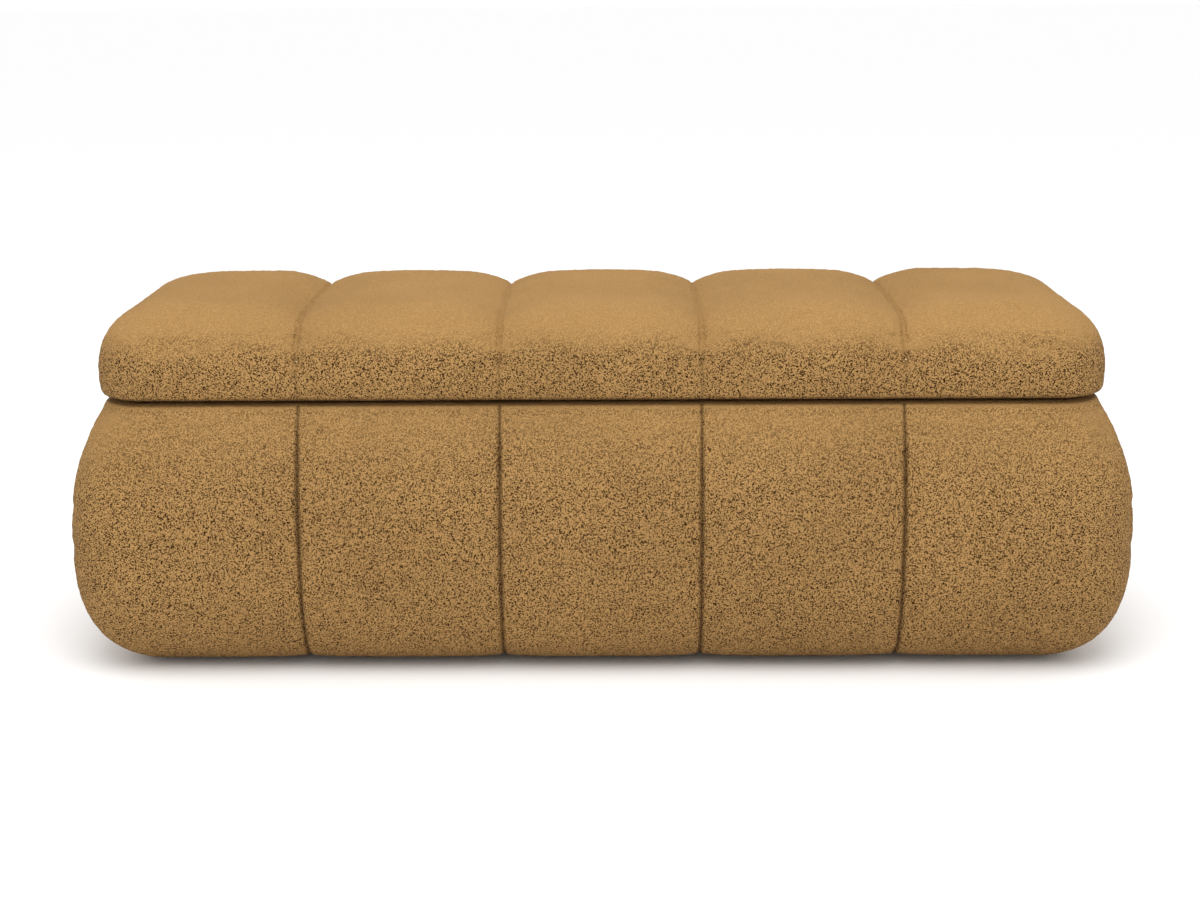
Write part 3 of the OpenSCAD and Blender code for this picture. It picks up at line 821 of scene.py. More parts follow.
def inflate(piece: bpy.types.Object, sewn: np.ndarray, cap: float) -> None:
    """Blows a padded skin up as cloth, held where it is sewn.

    Args:
        piece: The closed skin, a little smaller than it ends.
        sewn: True for each vertex that stays where it is.
        cap: Greatest distance that a vertex may move.
    """
    rest = points_of(piece)
    group = piece.vertex_groups.new(name="sewn")
    group.add([int(n) for n in np.flatnonzero(sewn)], 1.0, "REPLACE")
    cloth = piece.modifiers.new("Cloth", "CLOTH")
    for key, value in CLOTH_SETTINGS.items():
        setattr(cloth.settings, key, value)
    cloth.settings.vertex_group_mass = group.name
    cloth.settings.effector_weights.gravity = 0
    cloth.point_cache.frame_start = 1
    cloth.point_cache.frame_end = CLOTH_FRAMES
    scene = bpy.context.scene
    for number in range(1, CLOTH_FRAMES + 1):
        scene.frame_set(number)
    blown = piece.evaluated_get(bpy.context.evaluated_depsgraph_get())
    move = rows_of(blown.data) - rest
    piece.modifiers.remove(cloth)
    piece.vertex_groups.remove(group)
    length = np.linalg.norm(move, axis=1)
    share = np.where(length > cap, cap / np.maximum(length, 1e-9), 1.0)
    move_points(piece, rest + move * share[:, None])
    scene.frame_set(1)
    LOG.info("%s: inflated, moved %.1f mm at most before the cap", piece.name,
             length.max() / MM)


def raise_pile(piece: bpy.types.Object, sew: Callable[[bpy.types.Object], None]) -> None:
    """Refines a skin, sews it and roughens its outer face into tufts.

    Args:
        piece: The skin, with a vertex group "pile" for its outer face.
        sew: Pulls its seams in and paints shade along them.
    """
    apply_modifier(piece, "SUBSURF", levels=1, render_levels=1)
    sew(piece)
    for size, height in TUFTS:
        texture = bpy.data.textures.new(f"{piece.name}_pile", "CLOUDS")
        texture.noise_scale = size
        texture.noise_depth = 1
        apply_modifier(piece, "DISPLACE", texture=texture, strength=height, mid_level=0.5,
                       vertex_group="pile", texture_coords="LOCAL")
        bpy.data.textures.remove(texture)
    smooth(piece)


def store_painted_shade(piece: bpy.types.Object, strength: np.ndarray) -> None:
    """Stores the painted shade on each vertex, from 0 to 1, in seam creases, dimples and the gap
    at the rim, for the cover's colour.
    """
    layer = piece.data.attributes.new("seam", "FLOAT", "POINT")
    layer.data.foreach_set("value", strength.astype(np.float32))


# ---------------------------------------------------------------- body


@dataclass
class PaddedBody:
    """Barrel-shaped padded body: boucle cover and the foam under it."""

    pitch: float = 6.5 * MM
    belly: float = 0.155
    lower_draw_in: float = 0.103
    lower_power: float = 2.35
    lower_tighten: float = 0.4
    upper_draw_in: float = 0.043
    upper_power: float = 2.9
    rim_radius: float = 0.012
    corner_radius: float = 0.065
    mouth_radius: float = 0.006
    skin: float = 2.6 * MM
    valley: float = 5.0 * MM
    valley_width: float = 24.0 * MM
    crease: float = 5.0 * MM
    crease_width: float = 2.7 * MM
    # width and strength of the painted shade down the seams' creases, and strength of the painted
    # shade at the rim's gap under the lid
    seam_line: float = 1.8 * MM
    seam_shade: float = 0.75
    lip_shade: float = 0.8
    swell: float = 1.5 * MM
    spare: float = 1.5 * MM
    flap_reach: float = 0.040

    def __post_init__(self) -> None:
        """Reads the frame's sizes."""
        low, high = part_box("body_cover")
        self.half = (high.x, high.y)
        self.bottom = low.z
        self.rim = high.z
        flap = 2.0 * MM
        self.mouth_inset = high.x - (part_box("right_end_board")[0].x - flap)
        self.flap_bottom = self.rim - self.flap_reach
        self.hem_inset = high.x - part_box("dust_cover")[1].x + 5.0 * MM
        self.ring = PlanRing(seam_places(), self.pitch, self.half, self.corner_radius)

    def seam_share(self, z: float) -> float:
        """How deep the seams are at a height: full at the belly, shallow at the rim."""
        low = np.interp(z, [self.bottom, self.bottom + 0.05], [0.7, 1.0])
        return float(np.interp(z, [self.rim - 0.07, self.rim - 0.012], [low, 0.22]))

    def outer_path(self) -> list[Level]:
        """The skin's profile from the hem's edge, round the belly, to the flap's edge."""
        r, shoulder = self.corner_radius, self.rim - self.rim_radius
        power, drop = self.lower_power, self.belly - self.bottom
        low_r = r - self.lower_tighten * self.lower_draw_in
        path = [Level(self.hem_inset, low_r, self.bottom, 0, -1, 0.3)]
        for angle in np.linspace(math.pi / 2, 0, 40):
            c, s, out, down = crown_step(angle, power, self.lower_draw_in, drop)
            z = self.belly - drop * s
            inset = self.lower_draw_in * (1 - c)
            path.append(Level(inset, r - self.lower_tighten * inset, z, out, -down,
                              self.seam_share(z)))
        for t in np.linspace(0.03, 1, 40):
            z = self.belly + (shoulder - self.belly) * t
            slope = (self.upper_draw_in * self.upper_power * t ** (self.upper_power - 1)
                     / (shoulder - self.belly))
            path.append(Level(self.upper_draw_in * t ** self.upper_power, r, z, 1, slope,
                              self.seam_share(z)))
        for angle in np.linspace(math.radians(35), math.pi / 2, 8):
            c = 1 - math.cos(angle)
            path.append(Level(self.upper_draw_in + self.rim_radius * c,
                              r - self.rim_radius * c,
                              shoulder + self.rim_radius * math.sin(angle),
                              math.cos(angle), math.sin(angle), 0.2))
        edge = 2.5 * MM
        path.append(Level(self.mouth_inset - edge, self.mouth_radius + edge, self.rim, 0, 1, 0))
        path.append(Level(self.mouth_inset - edge * 0.3, self.mouth_radius + edge * 0.3,
                          self.rim - edge * 0.3, -0.7, 0.7, 0))
        path.append(Level(self.mouth_inset, self.mouth_radius, self.rim - edge, -1, 0, 0))
        path.append(Level(self.mouth_inset, self.mouth_radius, self.flap_bottom, -1, 0, 0))
        return path

    def row_points(self, level: Level, depth: float) -> np.ndarray:
        """One row of the skin.

        Args:
            level: Its level.
            depth: Distance under the outer face.

        Returns:
            One vertex row for each station.
        """
        plan, normal = self.ring.at(self.half[0] - level.inset, self.half[1] - level.inset,
                                    level.radius)
        gap = self.ring.seam_distance(plan[:, 0], self.ring.long_side())
        sunk = depth + level.seam * self.valley * np.exp(-gap / self.valley_width)
        points = np.empty((len(plan), 3))
        points[:, :2] = plan - normal * (sunk * level.out)[:, None]
        points[:, 2] = level.z - sunk * level.up
        return points

    def cover(self) -> bpy.types.Object:
        """Builds, inflates and roughens the cover."""
        outer = resample(self.outer_path(), self.pitch)
        inner = resample(list(reversed(self.outer_path())), 0.03)
        columns = self.ring.count
        rows = [self.row_points(level, self.swell * self.give(level)) for level in outer]
        rows += [self.row_points(level, self.skin + self.swell * self.give(level))
                 for level in inner]
        piece = mesh_piece("boucle_body_cover", np.concatenate(rows),
                           torus_faces(len(rows), columns))
        give = np.array([self.give(level) for level in outer] + [0.0] * len(inner))
        sewn = np.repeat(give < 0.02, columns)
        gap = self.ring.seam_distance(self.ring.at(*self.half, self.corner_radius)[0][:, 0],
                                      self.ring.long_side())
        sewn |= np.tile(gap < self.pitch * 0.2, len(rows))
        inflate(piece, sewn, self.swell + self.spare)
        pile = piece.vertex_groups.new(name="pile")
        pile.add(list(range(columns, (len(outer) - 1) * columns)), 1.0, "REPLACE")
        raise_pile(piece, self.sew)
        return finish_piece(piece, BOUCLE, BASE, ["body_cover"])

    def give(self, level: Level) -> float:
        """How far the cover starts under its final face: nothing where it is fastened."""
        if level.out <= 0:
            return 0.0
        rise = np.interp(level.z, [self.bottom + 4 * MM, self.bottom + 0.05], [0, 1])
        return float(rise * np.interp(level.z, [self.rim - 0.06, self.rim - 0.015], [1, 0]))

    def sew(self, piece: bpy.types.Object) -> None:
        """Pulls the seam lines in and paints shade along them and on the rim's edge at the gap
        under the lid.
        """
        points, normals = points_of(piece), rows_of(piece.data, "normal")
        face = np.where(points[:, 2] > self.belly, self.half[1] - self.upper_draw_in
                        - self.rim_radius, self.half[1] - self.mouth_inset)
        beyond = np.abs(points[:, 1]) > face
        outside = np.zeros(len(points))
        entry = piece.vertex_groups["pile"].index
        for vertex in piece.data.vertices:
            for element in vertex.groups:
                if element.group == entry:
                    outside[vertex.index] = element.weight
        gap = self.ring.seam_distance(points[:, 0], beyond)
        share = np.array([self.seam_share(z) for z in points[:, 2]])
        pull = np.exp(-(gap / self.crease_width) ** 2) * np.maximum(share, 0.35)
        side = np.where(outside > 0.5, -1.0, 1.0)
        move_points(piece, points + normals * (pull * side * self.crease)[:, None])
        # painted shade: a dark line down each seam's crease
        line = np.exp(-(gap / self.seam_line) ** 2) * self.seam_shade
        # painted shade: the rim's rounded edge darkens where it faces the gap under the lid
        rim_gap_shade = smoothstep(self.rim - 4 * MM, self.rim - 1 * MM, points[:, 2]) * self.lip_shade
        rim_gap_shade *= near_outline(points, (self.half[0] - self.upper_draw_in,
                                     self.half[1] - self.upper_draw_in), self.corner_radius)
        store_painted_shade(piece, np.maximum(line, rim_gap_shade) * outside)

    def pads(self) -> None:
        """Builds the foam pads under the cover, one for each channel and end."""
        path = resample([level for level in self.outer_path() if level.out > -0.1
                         and level.inset < self.upper_draw_in + self.rim_radius + 60 * MM], 0.012)
        path = [level for level in path if level.z < self.rim - 1 * MM or level.out > 0.05]
        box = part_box("floor_board")[1]
        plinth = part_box("plinth_long_rails")[1]
        plan = self.ring.at(*self.half, self.corner_radius)[0]
        long_side = self.ring.long_side()
        slit = 2.0 * MM
        edges = [-box.x] + list(self.ring.seams) + [box.x]
        groups: dict[str, np.ndarray] = {}
        for sign, word in ((-1, "front"), (1, "back")):
            side = (plan[:, 1] * sign > 0) & long_side
            for n in range(CHANNELS):
                inside = (plan[:, 0] > edges[n]) & (plan[:, 0] < edges[n + 1])
                groups[f"{word}_channel_pad_{n + 1}"] = side & inside
        for sign, word in ((-1, "left"), (1, "right")):
            groups[f"{word}_end_pad"] = plan[:, 0] * sign > box.x
        for name, inside in groups.items():
            stations = np.flatnonzero(inside)
            if stations[0] == 0 and stations[-1] == self.ring.count - 1:
                cut = int(np.argmax(np.diff(stations))) + 1
                stations = np.concatenate([stations[cut:], stations[:cut]])
            keep = sorted(set(range(0, len(stations), 3)) | {len(stations) - 1})
            self.pad(name, path, stations[keep], box, plinth, slit)

    def pad(self, name: str, path: list[Level], stations: np.ndarray, box: Vector,
            plinth: Vector, slit: float) -> None:
        """Builds one foam pad between the cover and the timber.

        Args:
            name: The CAD node that it stands for.
            path: Levels of the outer face.
            stations: Ring stations that it spans, in order.
            box: Highest corner of the storage box's floor.
            plinth: Highest corner of the plinth.
            slit: Half the gap between two pads.
        """
        room = self.skin + self.valley * 0.4 + 3.5 * MM
        outer = np.array([self.row_points(level, room)[stations] for level in path])
        inner = outer.copy()
        above = outer[..., 2] > plinth.z
        limit_x = np.where(above, box.x, plinth.x) + 0.4 * MM
        limit_y = np.where(above, box.y, plinth.y) + 0.4 * MM
        if name.startswith("back"):
            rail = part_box("hinge_rail")
            limit_y = np.where(outer[..., 2] > rail[0].z - 1 * MM, rail[1].y + 0.4 * MM, limit_y)
        if name.endswith("end_pad"):
            inner[..., 0] = np.sign(outer[..., 0]) * np.minimum(np.abs(outer[..., 0]), limit_x)
            inner[..., 1] = np.clip(outer[..., 1], -limit_y * 1.2, limit_y * 1.2)
        else:
            inner[..., 1] = np.sign(outer[..., 1]) * np.minimum(np.abs(outer[..., 1]), limit_y)
            low, high = outer[0, :, 0].min(), outer[0, :, 0].max()
            for skin in (outer, inner):
                skin[..., 0] = np.clip(skin[..., 0], low + slit, high - slit)
        finish_foam(block_between(f"foam_{name}", outer, inner), BASE, name)


def block_between(name: str, outer: np.ndarray, inner: np.ndarray) -> bpy.types.Object:
    """Closes the space between two grids of points into a solid.

    Args:
        name: The object's name.
        outer: Rows by columns of outer points.
        inner: The points behind them.

    Returns:
        The closed solid, its faces turned outwards.
    """
    rows, columns = outer.shape[:2]
    count = rows * columns
    faces = []
    for row in range(rows - 1):
        for column in range(columns - 1):
            a = row * columns + column
            quad = (a, a + 1, a + columns + 1, a + columns)
            faces.append(quad)
            faces.append(tuple(v + count for v in reversed(quad)))
    rim = ([(0, c) for c in range(columns)] + [(r, columns - 1) for r in range(1, rows)]
           + [(rows - 1, c) for c in range(columns - 2, -1, -1)]
           + [(r, 0) for r in range(rows - 2, 0, -1)])
    loop = [r * columns + c for r, c in rim]
    for a, b in zip(loop, loop[1:] + loop[:1]):
        faces.append((b, a, a + count, b + count))
    piece = mesh_piece(name, np.concatenate([outer.reshape(-1, 3), inner.reshape(-1, 3)]), faces)
    with editing(piece):
        bpy.ops.mesh.select_all(action="SELECT")
        bpy.ops.mesh.remove_doubles(threshold=0.05 * MM)
        bpy.ops.mesh.dissolve_degenerate(threshold=0.02 * MM)
        bpy.ops.mesh.select_all(action="SELECT")
        bpy.ops.mesh.normals_make_consistent(inside=False)
    return piece


# ---------------------------------------------------------------- lid


@dataclass
class PaddedLid:
    """Channelled lid: boucle cover, foam core and channel pads."""

    pitch: float = 6.0 * MM
    corner_radius: float = 0.068
    tuck: float = 2.0 * MM
    bottom_radius: float = 0.012
    waist: float = 0.028
    crown_width: float = 0.098
    crown_power: float = 2.8
    valley: float = 17.0 * MM
    valley_width: float = 62.0 * MM
    band_valley: float = 1.2 * MM
    pinch_z: float = 0.052
    pinch_fade: float = 0.040
    pinch_depth: float = 6.0 * MM
    crease: float = 1.2 * MM
    crease_width: float = 3.2 * MM
    swell: float = 1.5 * MM
    spare: float = 1.5 * MM
    crown: float = 1.0 * MM
    room: float = 11.0 * MM

    def __post_init__(self) -> None:
        """Reads the frame's sizes."""
        low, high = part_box("lid_cover")
        self.half = (high.x, high.y)
        self.bottom, self.top = low.z, high.z
        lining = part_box("lid_lining")[1]
        self.lining_half = (lining.x, lining.y)
        self.lining_top = lining.z
        self.ring = PlanRing(seam_places(), self.pitch, self.half, self.corner_radius)

    def seam_depth(self, z: np.ndarray) -> np.ndarray:
        """Depth of the channels at a height: shallow on the front band, deep on top."""
        low = self.bottom + self.pinch_z
        deep = smoothstep(low - 6 * MM, low + self.pinch_fade, z)
        return self.band_valley + (self.valley - self.band_valley) * deep

    def valley_shape(self, gap: np.ndarray, z: np.ndarray) -> np.ndarray:
        """Depth under the crown, for a distance from the seam and a height."""
        narrow = smoothstep(self.bottom + self.pinch_z - 10 * MM, self.bottom + 0.1, z)
        width = self.valley_width * (0.45 + 0.55 * narrow)
        t = np.clip(1 - gap / width, 0, 1)
        shape = 0.7 * t ** 1.8 + 0.3 * (1 - np.sqrt(np.maximum(0, 1 - t ** 2)))
        spot = (gap / (11 * MM)) ** 2 + ((z - self.bottom - self.pinch_z) / (9 * MM)) ** 2
        return self.seam_depth(z) * shape + self.pinch_depth * np.exp(-spot)

    def skirt_path(self) -> list[Level]:
        """The skin's profile from the lining's edge to the edge of the flat top."""
        r, b = self.corner_radius, self.bottom_radius
        flat = self.tuck + b
        path = [Level(flat, r - b, self.bottom, 0, -1, 0.0)]
        for angle in np.linspace(math.pi / 2, 0, 8)[1:]:
            c = 1 - math.cos(angle)
            path.append(Level(self.tuck + b * c, r - b * c,
                              self.bottom + b * (1 - math.sin(angle)),
                              math.cos(angle), -math.sin(angle)))
        waist = self.bottom + self.waist
        rise = self.top - waist
        for angle in np.linspace(0, math.pi / 2, 60):
            c, s, out, up = crown_step(angle, self.crown_power, self.crown_width, rise)
            path.append(Level(self.crown_width * (1 - c), r, waist + rise * s, out, up))
        return path

    def top_grid(self, plan: np.ndarray) -> np.ndarray:
        """Fills the flat top inside a ring with a grid whose lines keep the seams straight.

        Args:
            plan: The ring's plan points.

        Returns:
            Plan points, side_steps + 1 rows by front_steps + 1 columns.
        """
        nf, ns = self.ring.front_steps, self.ring.side_steps
        closed = np.vstack([plan, plan[:1]])
        front = closed[:nf + 1]
        right = closed[nf:nf + ns + 1]
        back = closed[nf + ns:2 * nf + ns + 1][::-1]
        left = closed[2 * nf + ns:][::-1]
        arc = self.ring.arc_steps
        hx, hy = plan[:, 0].max(), plan[:, 1].max()
        xs = front[:, 0].copy()
        ys = right[:, 1].copy()
        for line, limit in ((xs, hx), (ys, hy)):
            edge = line[-1 - arc]
            line[-1 - arc:] = np.linspace(edge, limit, arc + 1)
            line[:arc + 1] = -line[-1 - arc:][::-1]
        base = np.stack(np.broadcast_arrays(xs[None, :], ys[:, None]), -1)
        ease_x = smoothstep(self.ring.seams[-1], hx, np.abs(xs))
        ease_y = smoothstep(0.0, hy, np.abs(ys))
        west = np.where(xs < 0, ease_x, 0)[None, :, None]
        east = np.where(xs > 0, ease_x, 0)[None, :, None]
        south = np.where(ys < 0, ease_y, 0)[:, None, None]
        north = np.where(ys > 0, ease_y, 0)[:, None, None]
        grid = base + west * (left - base[:, 0])[:, None] + east * (right - base[:, -1])[:, None]
        grid += south * (front - base[0])[None] + north * (back - base[-1])[None]
        for weight, row, column in ((west * south, 0, 0), (east * south, 0, -1),
                                    (west * north, -1, 0), (east * north, -1, -1)):
            corner = (front if row == 0 else back)[column]
            grid -= weight * (corner - base[row, column])
        return grid

    def cover(self) -> bpy.types.Object:
        """Builds, inflates and roughens the cover."""
        skirt = resample(self.skirt_path(), self.pitch)
        columns = self.ring.count
        rows, faces = [], []
        rows.append(self.flat_row(self.lining_top + 0.2 * MM))
        rows.append(self.flat_row(self.bottom))
        for level in skirt:
            rows.append(self.skirt_row(level))
        for row in range(len(rows) - 1):
            for column in range(columns):
                a, b = row * columns + column, row * columns + (column + 1) % columns
                faces.append((a, b, b + columns, a + columns))
        last = len(rows) - 1
        grid, added = self.top_rows(skirt[-1])
        index = self.grid_index(grid.shape[:2], last * columns, len(rows) * columns)
        nf, ns = self.ring.front_steps, self.ring.side_steps
        for j in range(ns):
            for i in range(nf):
                faces.append((index[j, i], index[j, i + 1], index[j + 1, i + 1], index[j + 1, i]))
        faces.append(tuple(range(columns - 1, -1, -1)))
        points = np.concatenate(rows + [added])
        piece = mesh_piece("boucle_lid_cover", points, faces)
        self.blow(piece)
        pile = piece.vertex_groups.new(name="pile")
        pile.add(list(range(3 * columns, len(points))), 1.0, "REPLACE")
        self.fill_bottom(piece)
        raise_pile(piece, self.sew)
        return finish_piece(piece, BOUCLE, LID, ["lid_cover"])

    def fill_bottom(self, piece: bpy.types.Object) -> None:
        """Splits the large bottom face into triangles."""
        with editing(piece):
            bpy.ops.mesh.select_mode(type="FACE")
            pick_faces(piece, lambda face: len(face.verts) > 4)
            bpy.ops.mesh.inset(thickness=20 * MM)
            bpy.ops.mesh.quads_convert_to_tris()

    def flat_row(self, z: float) -> np.ndarray:
        """A row round the lining's edge at a height."""
        plan, _ = self.ring.at(self.lining_half[0] - 1 * MM, self.lining_half[1] - 1 * MM, 0.05)
        return np.column_stack([plan, np.full(len(plan), z)])

    def skirt_row(self, level: Level) -> np.ndarray:
        """One row of the skirt, with its channels sunk."""
        plan, normal = self.ring.at(self.half[0] - level.inset, self.half[1] - level.inset,
                                    level.radius)
        gap = self.ring.seam_distance(plan[:, 0], self.ring.long_side())
        z = np.full(len(plan), level.z)
        give = self.swell * self.give(level.z)
        depth = give + self.valley_shape(gap, z) * level.seam
        points = np.column_stack([plan, z])
        out = np.column_stack([normal * level.out, np.full(len(plan), level.up)])
        return points - out * depth[:, None]

    def give(self, z: float) -> float:
        """How far the cover starts under its final face."""
        return float(np.interp(z, [self.bottom + 6 * MM, self.bottom + 0.03], [0, 1]))

    def top_rows(self, edge: Level) -> tuple[np.ndarray, np.ndarray]:
        """The top's grid, and its points inside the skirt's last row."""
        plan, _ = self.ring.at(self.half[0] - edge.inset, self.half[1] - edge.inset, edge.radius)
        grid = self.top_grid(plan)
        inside = grid[1:-1, 1:-1].reshape(-1, 2)
        gap = self.ring.seam_distance(inside[:, 0], np.ones(len(inside), dtype=bool))
        z = np.full(len(inside), self.top)
        reach = np.minimum((plan[:, 0].max() - np.abs(inside[:, 0])) / 0.12,
                           (plan[:, 1].max() - np.abs(inside[:, 1])) / 0.1)
        rise = self.crown * smoothstep(0, 1, reach)
        depth = self.swell + self.valley_shape(gap, z) - rise
        return grid, np.column_stack([inside, z - depth])

    def grid_index(self, shape: tuple[int, int], ring_start: int, inner_start: int) -> np.ndarray:
        """Vertex numbers of the top's grid, whose border is the skirt's last row."""
        nj, ni = shape
        nf, ns = self.ring.front_steps, self.ring.side_steps
        columns = self.ring.count
        index = np.empty((nj, ni), dtype=int)
        index[0, :] = ring_start + np.arange(nf + 1)
        index[:, -1] = ring_start + nf + np.arange(ns + 1)
        index[-1, ::-1] = ring_start + nf + ns + np.arange(nf + 1)
        index[::-1, 0] = ring_start + (2 * nf + ns + np.arange(ns + 1)) % columns
        index[1:-1, 1:-1] = inner_start + np.arange((nj - 2) * (ni - 2)).reshape(nj - 2, ni - 2)
        return index

    def blow(self, piece: bpy.types.Object) -> None:
        """Inflates the cover between its seams."""
        points = points_of(piece)
        gap = np.min(np.abs(points[:, 0][:, None] - np.array(self.ring.seams)), axis=1)
        sewn = (gap < self.pitch * 0.2) & (points[:, 2] > self.bottom + self.pinch_z)
        sewn |= points[:, 2] < self.bottom + 6 * MM
        inflate(piece, sewn, self.swell + self.spare)

    def sew(self, piece: bpy.types.Object) -> None:
        """Pulls the seam lines in and paints shade along them, in the pinch dimples and on the
        bottom edge at the gap over the body.
        """
        points, normals = points_of(piece), rows_of(piece.data, "normal")
        long_side = (np.abs(points[:, 0]) < self.half[0] - self.crown_width)
        gap = self.ring.seam_distance(points[:, 0], long_side)
        high = smoothstep(self.bottom + self.pinch_z - 20 * MM, self.bottom + self.pinch_z,
                          points[:, 2])
        shown = smoothstep(self.bottom + 1 * MM, self.bottom + 6 * MM, points[:, 2])
        pull = np.exp(-(gap / self.crease_width) ** 2) * shown * (0.25 + 0.75 * high)
        move_points(piece, points - normals * (pull * self.crease)[:, None])
        # painted shade: a faint dark line down each seam, darker in the dimple at the pinch
        spot = np.exp(-((points[:, 2] - self.bottom - self.pinch_z) / (6 * MM)) ** 2)
        line = np.exp(-(gap / (2.2 * MM)) ** 2) * shown * (0.3 - 0.22 * high + 0.4 * spot)
        # painted shade: the bottom edge darkens where it faces the gap over the body
        rim_gap_shade = smoothstep(self.bottom + 5 * MM, self.bottom + 2 * MM, points[:, 2]) * 0.8
        rim_gap_shade *= near_outline(points, self.half, self.corner_radius)
        store_painted_shade(piece, np.maximum(line, rim_gap_shade))

    def height_at(self, x: np.ndarray, y: np.ndarray) -> np.ndarray:
        """Height of the foam's face under the cover at plan points."""
        r, room = self.corner_radius, self.room
        a = self.half[0] - room - r - np.abs(x)
        b = self.half[1] - room - r - np.abs(y)
        corner = (a + b + np.sqrt(np.maximum(2 * r ** 2 - (a - b) ** 2, 0))) / 2
        inset = np.where(a + r <= b, a + r, np.where(b + r <= a, b + r, corner))
        inset = np.clip(inset, 0, self.crown_width)
        waist = self.bottom + self.waist
        rise = self.top - room - waist
        c = 1 - inset / self.crown_width
        z = waist + rise * (1 - c ** self.crown_power) ** (1 / self.crown_power)
        gap = self.ring.seam_distance(x, np.ones_like(x, dtype=bool))
        return z - self.valley_shape(gap, z)

    def pads(self) -> None:
        """Builds the channel pads and the core under them."""
        room, steps_x, steps_y = self.room, 24, 40
        for n in range(1, CHANNELS + 1):
            name = f"lid_channel_pad_{n}"
            low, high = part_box(name)
            share = (1 - np.cos(np.linspace(0, math.pi, steps_x))) / 2
            x = low.x + 1 * MM + share * (high.x - low.x - 2 * MM)
            reach = self.half[1] - room
            r = self.corner_radius
            over = np.maximum(np.abs(x) - (self.half[0] - room - r), 0)
            edge = reach - r + np.sqrt(np.maximum(r ** 2 - over ** 2, (0.3 * r) ** 2))
            edge -= 16 * MM * np.exp(-np.min(np.abs(x[:, None] - np.array(self.ring.seams)),
                                             axis=1) / 0.02)
            x = np.clip(x, -(self.half[0] - room - 2 * MM), self.half[0] - room - 2 * MM)
            t = np.sin(np.linspace(-math.pi / 2, math.pi / 2, steps_y))
            gx = np.broadcast_to(x, (steps_y, steps_x))
            gy = t[:, None] * edge[None, :]
            top = np.maximum(self.height_at(gx.ravel(), gy.ravel()).reshape(gx.shape),
                             low.z + 1 * MM)
            upper = np.stack([gx, gy, top], -1)
            lower = np.stack([gx, gy, np.full_like(top, low.z)], -1)
            finish_foam(block_between(f"foam_{name}", upper, lower), LID, name)
        self.core()

    def core(self) -> None:
        """Builds the foam slab over the lid board, with an edge that laps round it."""
        low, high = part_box("lid_core_foam")
        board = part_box("lid_board")[1]
        half = (self.half[0] - self.room, self.half[1] - self.room)
        underside = low.z + 4 * MM
        piece = round_slab("foam_lid_core", half, self.corner_radius, underside,
                           high.z - 0.2 * MM)
        with editing(piece):
            bpy.ops.mesh.select_mode(type="FACE")
            pick_faces(piece, lambda face: face.normal.z < -0.9)
            bpy.ops.mesh.inset(thickness=half[0] - board.x - 0.6 * MM)
            deep = board.z + 0.3 * MM - underside
            bpy.ops.mesh.extrude_region_move(TRANSFORM_OT_translate={"value": (0, 0, deep)})
        apply_modifier(piece, "BEVEL", width=6 * MM, segments=3, limit_method="ANGLE")
        finish_foam(piece, LID, "lid_core_foam")


# ---------------------------------------------------------------- plain sheets and slabs


def pick_faces(piece: bpy.types.Object, wanted: Callable[[bmesh.types.BMFace], bool]) -> None:
    """Selects faces in edit mode by their place or normal."""
    mesh = bmesh.from_edit_mesh(piece.data)
    for vertex in mesh.verts:
        vertex.select = False
    for edge in mesh.edges:
        edge.select = False
    for face in mesh.faces:
        face.select = bool(wanted(face))
    mesh.select_flush_mode()
    bmesh.update_edit_mesh(piece.data)


def round_slab(name: str, half: tuple[float, float], radius: float, low: float,
               high: float) -> bpy.types.Object:
    """A slab with round corners, from a plane: corners bevelled, then extruded up.

    Args:
        name: The object's name.
        half: Half its length and depth.
        radius: Corner radius in plan.
        low: Height of its underside.
        high: Height of its top.

    Returns:
        The slab, at the origin.
    """
    deselect_all()
    bpy.ops.mesh.primitive_plane_add(size=2, location=(0, 0, 0))
    piece = bpy.context.object
    piece.name = name
    move_points(piece, points_of(piece) * np.array([half[0], half[1], 1]) + [0, 0, low])
    with editing(piece):
        bpy.ops.mesh.select_all(action="SELECT")
        bpy.ops.mesh.bevel(offset=radius, segments=8, affect="VERTICES")
        bpy.ops.mesh.select_all(action="SELECT")
        bpy.ops.mesh.extrude_region_move(TRANSFORM_OT_translate={"value": (0, 0, high - low)})
        bpy.ops.mesh.select_all(action="SELECT")
        bpy.ops.mesh.normals_make_consistent(inside=False)
    return piece


